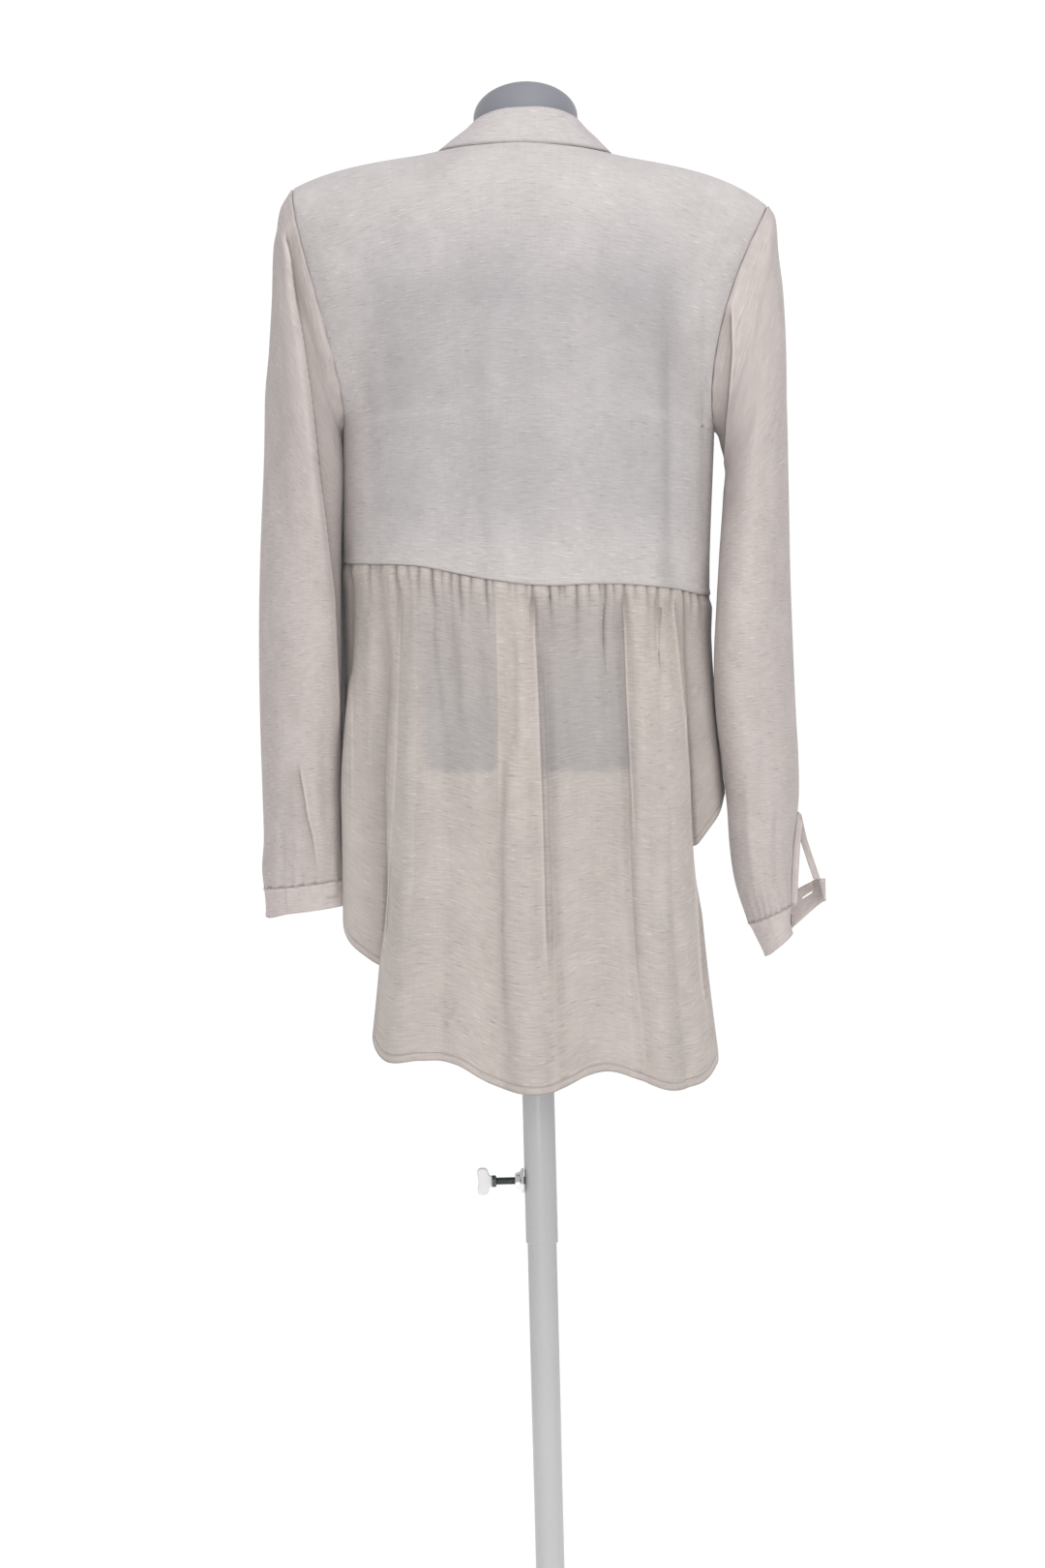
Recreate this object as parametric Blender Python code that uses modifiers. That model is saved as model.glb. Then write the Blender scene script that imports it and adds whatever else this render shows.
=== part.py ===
# Long-sleeved blouse with a gathered back skirt, on a limbless dress form and pole stand.
# Metres, +Z up. The wearer's left is +X, the wearer's back is +Y, the floor is z = 0.
# The pole stands on the Z axis. The blouse hangs a little askew, so left and right have their own sizes.

import math

import bmesh
import bpy
from mathutils import Vector

# Cloth
cloth_wall = 0.0012
cuff_wall = 0.0020
band_wall = 0.0016
seam_gap = 0.0003
binding_width = 0.0055
binding_clear = 0.0006
button_radius = 0.0055
button_thick = 0.0022

# Back neck, waist seam and hem
centre_x = -0.006
neck_seam_z = 1.507
neck_seam_y = 0.076
neck_side_y = 0.002
vee_point_y = -0.106
vee_point_z = 1.362
band_mitre = (0, 0.0235, 0.0307)
band_run_in = 0.177
neck_oval = {"x": -0.0102, "y": 0.005, "wide": 0.0480, "deep": 0.0520, "side_z": 1.5215, "back_z": 1.5385}
waist_centre_z = 1.1245
armhole_hollow = 14
armhole_step = 0.0016
gather_count = 34
gather_depth = 0.0023
gather_length = 0.045

# Form and stand
form_bottom = 0.968
socket_top = 1.150
tube_radius = 0.0140
tube_wall = 0.0010
tube_bottom = 0.548
pole_radius = 0.0127
pole_wall = 0.0012
pole_bottom = 0.002
pole_top = 0.880
hub_radius = 0.021
hub_top = 0.045
base_radius = 0.190
base_thick = 0.009
clamp_z = 0.603
rod_radius = 0.0035
rod_end = 0.0402
rod_clear = 0.0004
nut_radius = 0.0075
nut_end = 0.0200
hole_start = 0.010
hole_end = 0.030
socket_clear = 0.0005
cutter_past = 0.020
round_sides = 32

# Armholes: shoulder tip (x, z), underarm (x, z), half depth, and how far the back edge bows inward.
armholes = {
    "left": {"tip": (0.190, 1.472), "under": (0.154, 1.264), "half": 0.054, "bow": 0.002},
    "right": {"tip": (-0.2160, 1.4470), "under": (-0.1665, 1.255), "half": 0.054, "bow": 0.013},
}

# Side seams from the hem up to the underarm.
side_seams = {
    "left": [(0.925, 0.1600, -0.008), (1.000, 0.1590, -0.006), (1.147, 0.1570, -0.004), (1.264, 0.1540, 0.0)],
    "right": [(0.938, -0.1690, -0.008), (1.010, -0.1630, -0.006), (1.110, -0.1590, -0.004), (1.255, -0.1665, 0.0)],
}

# The waist seam's height across the back, from the left side seam to the right one.
waist_seam = [(0.1570, 1.147), (0.092, 1.1435), (0.041, 1.1325), (-0.014, 1.1245),
              (-0.073, 1.1245), (-0.129, 1.118), (-0.159, 1.110)]

# Centre back depth up the bodice.
back_depths = [(1.110, 0.102), (1.250, 0.107), (1.360, 0.108), (1.420, 0.103),
               (1.460, 0.095), (1.490, 0.084), (1.507, 0.076)]

# Front: height at the centre, centre depth, and the bulge past the left and the right side seam.
front_sections = [(0.852, -0.122, 0.034, 0.012), (0.950, -0.120, 0.044, 0.020), (1.060, -0.116, 0.046, 0.022),
                  (1.120, -0.115, 0.044, 0.010), (1.180, -0.116, 0.036, 0.000), (1.240, -0.117, 0.018, 0.004),
                  (1.300, -0.116, 0.004, 0.006), (1.362, -0.106, 0.000, 0.000)]

# Back skirt sections from left seam to right seam: share of the width, place at the waist,
# half way down and at the hem. The tucks lie under the fold edges on each side.
skirt_knots = [
    ("left_seam", 0.000, (0.1570, -0.004), (0.1600, -0.008), (0.1600, -0.008)),
    ("left_turn", 0.040, (0.1525, 0.017), (0.1565, 0.016), (0.1575, 0.016)),
    ("left_side", 0.100, (0.145, 0.041), (0.161, 0.046), (0.1665, 0.048)),
    ("left_tuck", 0.180, (0.123, 0.064), (0.115, 0.065), (0.130, 0.064)),
    ("left_edge", 0.235, (0.110, 0.075), (0.1225, 0.086), (0.1430, 0.088)),
    ("left_ridge", 0.310, (0.088, 0.088), (0.096, 0.105), (0.110, 0.112)),
    ("left_inner", 0.410, (0.045, 0.1015), (0.050, 0.113), (0.057, 0.122)),
    ("centre", 0.500, (-0.008, 0.106), (-0.009, 0.118), (-0.010, 0.126)),
    ("right_inner", 0.590, (-0.062, 0.098), (-0.064, 0.112), (-0.070, 0.121)),
    ("right_ridge", 0.690, (-0.108, 0.079), (-0.112, 0.101), (-0.122, 0.110)),
    ("right_edge", 0.765, (-0.128, 0.063), (-0.1380, 0.080), (-0.1540, 0.084)),
    ("right_tuck", 0.830, (-0.137, 0.053), (-0.129, 0.057), (-0.133, 0.054)),
    ("right_side", 0.915, (-0.150, 0.030), (-0.156, 0.027), (-0.157, 0.027)),
    ("right_seam", 1.000, (-0.159, -0.004), (-0.1660, -0.008), (-0.1690, -0.008)),
]
skirt_levels = (1.124, 0.940, 0.720)

# Hem height at shares of the skirt's width.
skirt_hem = [(0.000, 0.925), (0.040, 0.893), (0.100, 0.829), (0.140, 0.806), (0.180, 0.790), (0.235, 0.741),
             (0.275, 0.7225), (0.330, 0.7235), (0.390, 0.7195), (0.450, 0.698), (0.500, 0.694),
             (0.545, 0.708), (0.575, 0.711),
             (0.620, 0.702), (0.665, 0.693), (0.715, 0.696), (0.750, 0.710), (0.765, 0.721), (0.830, 0.850),
             (0.915, 0.912), (1.000, 0.938)]

# Long folds down the skirt: share of the width, rise at the waist, half way, and at the hem, half width.
skirt_folds = [
    ("left_light", 0.300, 0.003, 0.004, 0.005, 0.026),
    ("left_dip", 0.360, -0.002, -0.004, -0.006, 0.022),
    ("broad_ridge", 0.475, 0.006, 0.007, 0.006, 0.018),
    ("centre_dip", 0.508, -0.005, -0.006, -0.006, 0.012),
    ("lower_dip", 0.447, 0.000, -0.003, -0.006, 0.014),
    ("right_dip", 0.598, -0.004, -0.002, -0.001, 0.010),
    ("right_line", 0.628, -0.005, -0.005, -0.005, 0.012),
    ("right_light", 0.662, 0.004, 0.005, 0.004, 0.018),
    ("right_short", 0.700, -0.003, -0.002, -0.004, 0.012),
]

# Soft folds down the back bodice: x, top z, rise, half width.
bodice_folds = [(-0.127, 1.400, -0.0035, 0.010), (-0.108, 1.380, 0.0030, 0.014),
                (0.023, 1.380, 0.0030, 0.017), (-0.004, 1.360, -0.0025, 0.012)]

# Soft folds down the front, as above.
front_folds = [(0.112, 1.300, 0.0050, 0.016), (0.058, 1.330, -0.0035, 0.014), (0.020, 1.250, 0.0045, 0.017),
               (-0.046, 1.300, -0.0040, 0.013), (-0.082, 1.320, 0.0050, 0.018), (-0.128, 1.240, -0.0035, 0.012)]

# Sleeve rows below the armhole: inner x, z, y, then outer x, z, y, then half depth.
left_sleeve = [
    (0.1565, 1.2570, 0.000, 0.2040, 1.4560, 0.000, 0.056),
    (0.1580, 1.2460, 0.000, 0.2085, 1.4280, -0.001, 0.058),
    (0.1590, 1.2320, 0.000, 0.2130, 1.3850, -0.002, 0.059),
    (0.1605, 1.2160, 0.000, 0.2175, 1.3350, -0.003, 0.060),
    (0.1635, 1.1970, 0.000, 0.2225, 1.2620, -0.004, 0.060),
    (0.1690, 1.1630, 0.002, 0.2290, 1.1780, -0.005, 0.059),
    (0.1700, 1.1150, 0.004, 0.2325, 1.1150, -0.006, 0.057),
    (0.1685, 1.0600, 0.006, 0.2342, 1.0600, -0.007, 0.055),
    (0.1675, 1.0000, 0.008, 0.2348, 1.0000, -0.008, 0.052),
    (0.1670, 0.9500, 0.008, 0.2345, 0.9480, -0.008, 0.049),
    (0.1670, 0.9130, 0.008, 0.2345, 0.9080, -0.008, 0.045),
    (0.1665, 0.8900, 0.008, 0.2365, 0.8840, -0.008, 0.041),
    (0.1645, 0.8735, 0.008, 0.2350, 0.8655, -0.008, 0.036),
]
right_sleeve = [
    (-0.1712, 1.2480, 0.000, -0.2245, 1.4370, 0.000, 0.056),
    (-0.1730, 1.2400, 0.000, -0.2265, 1.4080, -0.001, 0.058),
    (-0.1755, 1.2300, 0.000, -0.2295, 1.3700, -0.002, 0.059),
    (-0.1770, 1.2180, 0.002, -0.2312, 1.3250, -0.003, 0.060),
    (-0.1745, 1.2030, 0.005, -0.2308, 1.2620, -0.004, 0.060),
    (-0.1720, 1.1780, 0.010, -0.2309, 1.1950, -0.004, 0.059),
    (-0.1685, 1.1450, 0.018, -0.2308, 1.1450, -0.004, 0.057),
    (-0.1645, 1.1000, 0.028, -0.2313, 1.1000, -0.004, 0.055),
    (-0.1610, 1.0500, 0.034, -0.2322, 1.0500, -0.004, 0.053),
    (-0.1620, 1.0050, 0.034, -0.2332, 1.0050, -0.003, 0.051),
    (-0.1665, 0.9650, 0.028, -0.2344, 0.9650, -0.002, 0.048),
    (-0.1700, 0.9300, 0.022, -0.2335, 0.9300, 0.000, 0.045),
    (-0.1720, 0.8920, 0.016, -0.2335, 0.8920, 0.000, 0.040),
    (-0.1765, 0.8600, 0.010, -0.2350, 0.8600, 0.000, 0.035),
    (-0.1875, 0.8255, 0.006, -0.2370, 0.8480, 0.000, 0.029),
]

# Where each slit's two edges leave the sleeve's end line: near (back) edge and far (front) edge, as x, y, z.
slit_edges = {
    "left": [((0.1662, 0.0125, 0.9130), (0.1662, 0.0035, 0.9130)),
             ((0.1655, 0.0150, 0.8895), (0.1655, 0.0005, 0.8895)),
             ((0.1635, 0.0160, 0.8735), (0.1638, -0.0010, 0.8735))],
    "right": [((-0.2275, 0.0080, 0.8930), (-0.2400, -0.0160, 0.8960)),
              ((-0.2250, 0.0120, 0.8650), (-0.2465, -0.0230, 0.8720)),
              ((-0.2236, 0.0140, 0.8400), (-0.2500, -0.0270, 0.8595))],
}

# The left sleeve's long fold edge: height, x, and how deep the cloth inside of it lies.
left_fold = [(1.440, 0.1970, 0.001), (1.390, 0.1960, 0.007), (1.329, 0.1880, 0.012), (1.268, 0.1820, 0.013),
             (1.220, 0.1785, 0.012), (1.159, 0.1725, 0.008), (1.100, 0.1690, 0.003), (1.000, 0.1640, 0.000)]

# Cuff bottoms: near end, inner point, far end as x, y, z, then half depth.
cuff_bottoms = {
    "left": {"near": (0.1605, 0.0150, 0.8515), "turn": (0.2343, -0.008, 0.8370), "far": (0.1620, -0.0030, 0.8510),
             "half": 0.033},
    "right": {"near": (-0.2248, 0.0120, 0.8160), "turn": (-0.2000, 0.000, 0.7955), "far": (-0.2550, -0.0290, 0.8395),
              "half": 0.024},
}

# Form rings: centre y, z, half width, back depth, front depth, forward tilt in degrees.
form_rings = [
    (0.000, 0.968, 0.131, 0.074, 0.086, 0),
    (0.000, 0.974, 0.137, 0.078, 0.091, 0),
    (0.000, 1.030, 0.138, 0.080, 0.090, 0),
    (0.000, 1.090, 0.126, 0.078, 0.082, 0),
    (0.000, 1.150, 0.113, 0.074, 0.076, 0),
    (0.000, 1.210, 0.118, 0.078, 0.084, 0),
    (0.000, 1.270, 0.130, 0.086, 0.096, 0),
    (0.000, 1.320, 0.138, 0.092, 0.098, 0),
    (0.002, 1.370, 0.148, 0.094, 0.086, 0),
    (0.004, 1.410, 0.162, 0.086, 0.066, 0),
    (0.006, 1.4384, 0.168, 0.072, 0.046, 0),
    (0.008, 1.4568, 0.150, 0.060, 0.036, 0),
    (0.010, 1.4711, 0.112, 0.054, 0.034, 6),
    (0.012, 1.4812, 0.082, 0.051, 0.036, 14),
    (0.012, 1.4909, 0.0600, 0.050, 0.042, 22),
    (0.009, 1.503, 0.0480, 0.048, 0.046, 30),
    (0.001, 1.518, 0.0455, 0.0470, 0.0475, 35),
    (-0.009, 1.5295, 0.0452, 0.0470, 0.0475, 36),
]
form_lean = 0.056
form_columns = 32


def smooth(edge0, edge1, value):
    t = min(max((value - edge0) / (edge1 - edge0), 0.0), 1.0)
    return t * t * (3 - 2 * t)


def along(rows, key, column):
    """A smooth value from a table whose first column rises or falls steadily."""
    if rows[0][0] > rows[-1][0]:
        rows = rows[::-1]
    keys = [row[0] for row in rows]
    values = [row[column] for row in rows]
    key = min(max(key, keys[0]), keys[-1])
    i = max(j for j in range(len(keys) - 1) if keys[j] <= key)

    def slope(j):
        low, high = max(j - 1, 0), min(j + 1, len(keys) - 1)
        return (values[high] - values[low]) / (keys[high] - keys[low])

    step = keys[i + 1] - keys[i]
    t = (key - keys[i]) / step
    a, b = values[i], values[i + 1]
    return ((2 * t**3 - 3 * t**2 + 1) * a + (t**3 - 2 * t**2 + t) * step * slope(i)
            + (3 * t**2 - 2 * t**3) * b + (t**3 - t**2) * step * slope(i + 1))


def blend(a, b, t):
    return a + (b - a) * t


def finish(name, color, roughness, metallic=0.0):
    material = bpy.data.materials.new(name)
    material.use_nodes = True
    shader = material.node_tree.nodes["Principled BSDF"]
    shader.inputs["Base Color"].default_value = (*color, 1)
    shader.inputs["Roughness"].default_value = roughness
    shader.inputs["Metallic"].default_value = metallic
    return material


def place(name, mesh, look):
    """A new object with its own finish, or a cutter when it has no look."""
    piece = bpy.data.objects.new(name, mesh)
    if look is None:
        cutters.objects.link(piece)
        piece.hide_render = True
        piece.display_type = "WIRE"
    else:
        piece.data.materials.append(finish(name + "_finish", *look))
        part.objects.link(piece)
    return piece


def mesh_from(bm, smooth_angle=40):
    mesh = bpy.data.meshes.new("piece")
    bm.to_mesh(mesh)
    bm.free()
    mesh.shade_smooth()
    mesh.set_sharp_from_angle(angle=math.radians(smooth_angle))
    return mesh


def cloth(name, rows, wall, outward=True, closed_rows=0):
    """A cloth wall from rows of points. A row may have half the columns of the row before it.

    The first closed_rows rows are closed rings; the rows after them are open."""
    bm = bmesh.new()
    grid = []
    for r, row in enumerate(rows):
        points = [bm.verts.new(point) for point in row]
        if r < closed_rows:
            bm.verts.remove(points[-1])
            points[-1] = points[0]
        grid.append(points)
    for first, second in zip(grid, grid[1:]):
        ratio = (len(first) - 1) // (len(second) - 1)
        for i in range(len(second) - 1):
            a, b = first[i * ratio], first[(i + 1) * ratio]
            c, d = second[i + 1], second[i]
            if ratio == 2:
                m = first[i * 2 + 1]
                for corners in ((a, d, m), (m, d, c), (m, c, b)):
                    bm.faces.new(corners)
            else:
                bm.faces.new((a, d, c, b))
    bmesh.ops.triangulate(bm, faces=bm.faces)
    piece = place(name, mesh_from(bm), linen)
    solidify = piece.modifiers.new("wall", "SOLIDIFY")
    solidify.thickness = wall
    solidify.offset = 1 if outward else -1
    return piece


# The armhole's ring and the side seams

def armhole(side, angle):
    """A point on the armhole seam: 0 at the shoulder tip, 180 at the underarm, by way of the back."""
    hole = armholes[side]
    tip = Vector((hole["tip"][0], neck_side_y, hole["tip"][1]))
    under = Vector((hole["under"][0], 0, hole["under"][1]))
    turn = math.radians(angle)
    point = (tip + under) / 2 + (tip - under) / 2 * math.cos(turn)
    point.y += hole["half"] * math.sin(turn)
    inward = -math.copysign(1, hole["tip"][0])
    point.x += inward * hole["bow"] * math.sin(turn) ** 2
    return point


def side_seam(side, z):
    rows = side_seams[side]
    return Vector((along(rows, z, 1), along(rows, z, 2), z))


neck_share = 0.381
neck_reaches = (0, 0.26, 0.50, 0.71, 0.87, 0.966, 1)
across_half = [neck_share * reach for reach in neck_reaches] + [0.47, 0.56, 0.65, 0.74, 0.82, 0.89, 0.945, 0.98, 1]
across = [-s for s in across_half[:0:-1]] + across_half


def body_row(left, right, centre_y, centre_z, top, top_line, bulge=(0, 0), folds=(), turn=None, curve=1.5):
    """One row across a bodice, between its two edge points. top turns it into the neck and shoulder line.

    turn is the row's angle on the armhole; curve is how late the row leaves its middle height."""
    hollow, round_edge = 0, 0.45
    if turn is not None:
        round_edge += 0.35 * math.sin(math.radians(turn))
        if turn > 90:
            hollow = armhole_hollow * math.cos(math.radians(turn)) ** 2
    row = []
    for s in across:
        edge = left if s < 0 else right
        share = abs(s)
        x = blend(centre_x, edge.x, share)
        y = blend(edge.y * share**hollow, centre_y, (1 - share**2) ** round_edge)
        z = blend(centre_z, edge.z, share**curve)
        x += bulge[s > 0] * math.sin(math.pi * max((share - 0.55) / 0.45, 0) ** 1.3)
        if top:
            top_y, top_z = top_line(share, edge)
            y = blend(y, top_y, top)
            z = blend(z, top_z, top)
        y += math.copysign(relief(folds, x, z), centre_y)
        row.append(Vector((x, y, z)))
    return row


def shoulder_drop(share):
    return 0.62 * share**1.05 + 0.38 * share**6


def back_top(share, edge):
    reach = min(share / neck_share, 1)
    y = neck_side_y + (neck_seam_y - neck_side_y) * math.sqrt(1 - reach**2)
    return y + seam_gap / 2, blend(neck_seam_z, edge.z, shoulder_drop(share))


def front_top(share, edge):
    reach = min(share / neck_share, 1)
    side_z = blend(neck_seam_z, edge.z, shoulder_drop(neck_share))
    if reach < 1:
        y = neck_side_y + (vee_point_y - neck_side_y) * (1 - reach) ** 0.85
        return y - seam_gap / 2, vee_point_z + (side_z - vee_point_z) * (1 - (1 - reach) ** 1.6)
    return neck_side_y - seam_gap / 2, blend(neck_seam_z, edge.z, shoulder_drop(share))


def relief(folds, x, z):
    """How far a bodice stands out at a place, from folds that fade in over 80 mm below their top."""
    return sum(rise * smooth(high, high - 0.08, z) * math.exp(-((x - at) / width) ** 2)
               for at, high, rise, width in folds)


def waist_curve(share):
    """The waist seam's base curve: share 0 at the left side seam, 1 at the right one."""
    knots = [(knot[1], knot[2][0], knot[2][1]) for knot in skirt_knots]
    x = along(knots, share, 1)
    z = along(waist_seam, x, 1)
    return Vector((x, along(knots, share, 2) + relief(bodice_folds, x, z), z))


def waist_share(x):
    """The share along the waist seam whose x is the one given, by halving."""
    low, high = 0.0, 1.0
    for _ in range(30):
        middle = (low + high) / 2
        if waist_curve(middle).x > x:
            low = middle
        else:
            high = middle
    return low


def waist_corners():
    """The waist seam's corners, one to a bodice column, so that skirt and bodice meet on the same straight runs."""
    shares = [waist_share(blend(centre_x, waist_seam[0 if s < 0 else -1][0], abs(s))) for s in across]
    shares[0], shares[-1] = 0.0, 1.0
    return [(share, waist_curve(share)) for share in shares]


def waist_line(corners, share):
    i = max(j for j in range(len(corners) - 1) if corners[j][0] <= share)
    (start, a), (end, b) = corners[i], corners[i + 1]
    return a.lerp(b, (share - start) / (end - start))


# Cloth pieces

def make_back_bodice(corners):
    waist = [point + Vector((0, 0, seam_gap / 2)) for _, point in corners]
    waist[0].y += seam_gap
    waist[-1].y += seam_gap
    rows = [waist]
    for level in (0.25, 0.5, 0.75, 0.97):
        left = side_seam("left", blend(waist_seam[0][1], armholes["left"]["under"][1], level))
        right = side_seam("right", blend(waist_seam[-1][1], armholes["right"]["under"][1], level))
        left.y += seam_gap
        right.y += seam_gap
        rows.append(back_row(left, right, None))
    for turn in (168, 150, 132, 114, 96, 78, 60, 44, 29, 14, 0):
        rows.append(back_row(armhole("left", turn), armhole("right", turn), turn))
    cloth("back_bodice", [row[::-1] for row in rows], cloth_wall)
    return rows


def top_share(turn, power):
    return max(math.cos(math.radians(turn)), 0) ** power if turn is not None else 0


def back_row(left, right, turn):
    waist_mean = (waist_seam[0][1] + waist_seam[-1][1]) / 2
    tip_mean = (armholes["left"]["tip"][1] + armholes["right"]["tip"][1]) / 2
    rise = ((left.z + right.z) / 2 - waist_mean) / (tip_mean - waist_mean)
    centre_z = blend(waist_centre_z, neck_seam_z, rise)
    return body_row(left, right, along(back_depths, centre_z, 1), centre_z, top_share(turn, 6), back_top,
                    folds=bodice_folds, turn=turn)


def make_front():
    rows = []
    under = {side: armholes[side]["under"][1] for side in armholes}
    for level in (0, 0.18, 0.36, 0.54, 0.70, 0.85, 0.98):
        left = side_seam("left", blend(side_seams["left"][0][0], under["left"], level))
        right = side_seam("right", blend(side_seams["right"][0][0], under["right"], level))
        left.y -= seam_gap
        right.y -= seam_gap
        centre_z = blend(front_sections[0][0], under["right"], level)
        rows.append(front_row(left, right, None, centre_z, 3.2 - 1.7 * level))
    for turn in (168, 150, 130, 110, 90, 70, 52, 36, 22, 10, 0):
        centre_z = blend(1.260, vee_point_z, ((180 - turn) / 180) ** 0.7)
        rows.append(front_row(armhole("left", -turn), armhole("right", -turn), turn, centre_z, 1.5))
    cloth("front", rows, cloth_wall)
    return rows


def front_row(left, right, turn, centre_z, curve):
    depth = along(front_sections, centre_z, 1)
    bulge = (along(front_sections, centre_z, 2), -along(front_sections, centre_z, 3))
    return body_row(left, right, depth, centre_z, top_share(turn, 4), front_top, bulge, front_folds, turn,
                    curve)


def skirt_point(share, z):
    """The skirt's section at one height, before its folds."""
    high, mid, low = skirt_levels
    section = []
    for _, at, *places in skirt_knots:
        waist, half, hem = (Vector(spot) for spot in places)
        spot = waist.lerp(half, smooth(high, mid, z)) if z > mid else half.lerp(hem, ((mid - z) / (mid - low)) ** 1.6)
        section.append((at, spot.x, spot.y))
    for end, side in ((0, "left"), (-1, "right")):
        seam = side_seam(side, z)
        section[end] = (section[end][0], seam.x, seam.y)
    return Vector((along(section, share, 1), along(section, share, 2), z))


def skirt_rise(share, z, drop):
    """How far the skirt stands out from its section, from its long folds and its gathers."""
    rise = 0
    for _, at, top, half, low, width in skirt_folds:
        height = along(list(zip(skirt_levels, (top, half, low))), z, 1)
        rise += height * math.exp(-((share - at) / width) ** 2) * smooth(0, 0.05, drop)
    swell = smooth(0, 0.012, drop) * 0.65 + 0.35
    fade = math.exp(-((drop / gather_length) ** 2))
    return rise + gather_depth * math.sin(2 * math.pi * gather_count * share) * swell * fade


def skirt_row(corners, columns, fall):
    row = []
    for i in range(columns + 1):
        share = i / columns
        top = waist_line(corners, share)
        top.z -= seam_gap * 1.2
        hem = along(skirt_hem, share, 1)
        z = blend(top.z, hem, fall)
        drop = top.z - z
        settle = smooth(0, 0.06, drop)
        point = top.lerp(skirt_point(share, z), settle)
        point.z = z
        ahead = skirt_point(min(share + 0.004, 1), z)
        behind = skirt_point(max(share - 0.004, 0), z)
        run = (ahead - behind).normalized()
        out = Vector((-run.y, run.x, 0)) * -1
        point += out * skirt_rise(share, z, drop)
        if i in (0, columns):
            point.y += seam_gap
        row.append(point)
    return row


def make_back_skirt(corners):
    gathered = [skirt_row(corners, gather_count * 4, fall) for fall in (0, 0.014, 0.045, 0.085)]
    hanging = [skirt_row(corners, gather_count * 2, 0.13 + 0.87 * i / 11) for i in range(12)]
    cloth("back_skirt", gathered + hanging, cloth_wall)


def neck_point(rows, side, reach):
    """A point on a bodice's neck edge, reach 0 at its middle and 1 at the shoulder seam, and the way out of it."""
    i = max(j for j in range(len(neck_reaches) - 1) if neck_reaches[j] <= reach)
    share = (reach - neck_reaches[i]) / (neck_reaches[i + 1] - neck_reaches[i])
    middle = len(across_half) - 1
    toward = -1 if side == "left" else 1
    edge, below = (row[middle + toward * i].lerp(row[middle + toward * (i + 1)], share) for row in rows[:-3:-1])
    return edge, (edge - below).normalized()


def neck_path():
    """Places round the neck: from the V point by the left side and the centre back to the V point."""
    reaches = [neck_reaches[0]]
    for a, b in zip(neck_reaches, neck_reaches[1:]):
        reaches += [(a + b) / 2, b]
    half = [("left", reach, False) for reach in reaches] + [("left", reach, True) for reach in reaches[-2::-1]]
    return half + [("right", reach, behind) for _, reach, behind in half[-2::-1]]


def make_neck_band(front_rows, back_rows):
    """An open strip whose two ends meet at the V point. In front it lies flat, behind it stands up."""
    seam, middle, free = [], [], []
    path = neck_path()
    spots = [neck_point(back_rows if behind else front_rows, side, reach) for side, reach, behind in path]
    for i, (side, reach, behind) in enumerate(path):
        point, out_of = spots[i]
        lift = band_edge(point) - point
        if not behind:
            inner = reach - band_run_in if reach > 2 * band_run_in else reach**2 / (4 * band_run_in)
            flat = neck_point(front_rows, side, inner)[0] + Vector(band_mitre) - point
            lift = flat.lerp(lift, smooth(0.68, 1, reach))
        run = spots[min(i + 1, len(path) - 1)][0] - spots[max(i - 1, 0)][0]
        body_side = run.cross(out_of).normalized()
        away = body_side.cross(run).normalized()
        band_side = run.cross(lift).normalized()
        seat = point + body_side * cloth_wall
        if i in (0, len(path) - 1):
            seat.x += math.copysign(2 * seam_gap, 0.5 - i)
        clear = 1.3 * seam_gap + max(band_wall * band_side.dot(away), 0)
        way = lift.normalized()
        start = seat + way * clear / max(way.dot(away), 0.4)
        seam.append(start)
        middle.append(start.lerp(seat + lift, 0.5))
        free.append(seat + lift)
    cloth("neck_band", [row[::-1] for row in (seam, middle, free)], band_wall, outward=False)


def band_edge(point):
    """The band's free edge where it stands up, on an oval round the form's neck."""
    middle_x, middle_y, wide, deep, side_z, back_z = neck_oval.values()
    turn = math.atan2(point.y - middle_y, (point.x - middle_x) * deep / wide)
    return Vector((middle_x + wide * math.cos(turn), middle_y + deep * math.sin(turn),
                   blend(side_z, back_z, max(math.sin(turn), -0.4))))


def sleeve_rows(side, columns):
    """Rings from the armhole to the cuff. Each starts at the slit's line and goes round by the back."""
    table = left_sleeve if side == "left" else right_sleeve
    rows = []
    ring = []
    for i in range(columns + 1):
        turn = 360 * i / columns
        angle = 180 - turn if side == "left" else turn
        point = armhole(side, angle)
        under = max(-math.cos(math.radians(angle)), 0) ** 3
        outward = math.copysign(1, armholes[side]["tip"][0])
        point.x += outward * (seam_gap + armhole_step + cloth_wall * 0.4 * under)
        ring.append(point)
    rows.append(ring)
    slits = slit_edges[side]
    first_slit = len(table) - len(slits)
    for r, (inner_x, inner_z, inner_y, outer_x, outer_z, outer_y, half) in enumerate(table):
        inner = Vector((inner_x, inner_y, inner_z))
        outer = Vector((outer_x, outer_y, outer_z))
        start, turn_point = (inner, outer) if side == "left" else (outer, inner)
        near = far = start
        if r >= first_slit:
            near, far = (Vector(edge) for edge in slits[r - first_slit])
        rows.append(ring_between(near, far, turn_point, half, columns))
    return rows, first_slit + 1


def ring_between(near, far, turn_point, half, columns):
    """A ring from the near edge, by the back, round the turning point and back to the far edge."""
    ring = []
    for i in range(columns + 1):
        turn = 2 * math.pi * i / columns
        start = near if i <= columns / 2 else far
        point = (start + turn_point) / 2 + (start - turn_point) / 2 * math.cos(turn)
        point.y += half * math.copysign(abs(math.sin(turn)) ** 0.9, math.sin(turn))
        ring.append(point)
    return ring


def press_left_fold(rows):
    for row in rows[1:]:
        for point in row:
            if point.y > 0.004 and point.z > 0.98:
                edge = along(left_fold, point.z, 1)
                depth = along(left_fold, point.z, 2)
                point.y -= depth * smooth(edge + 0.002, edge - 0.009, point.x)


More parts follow.
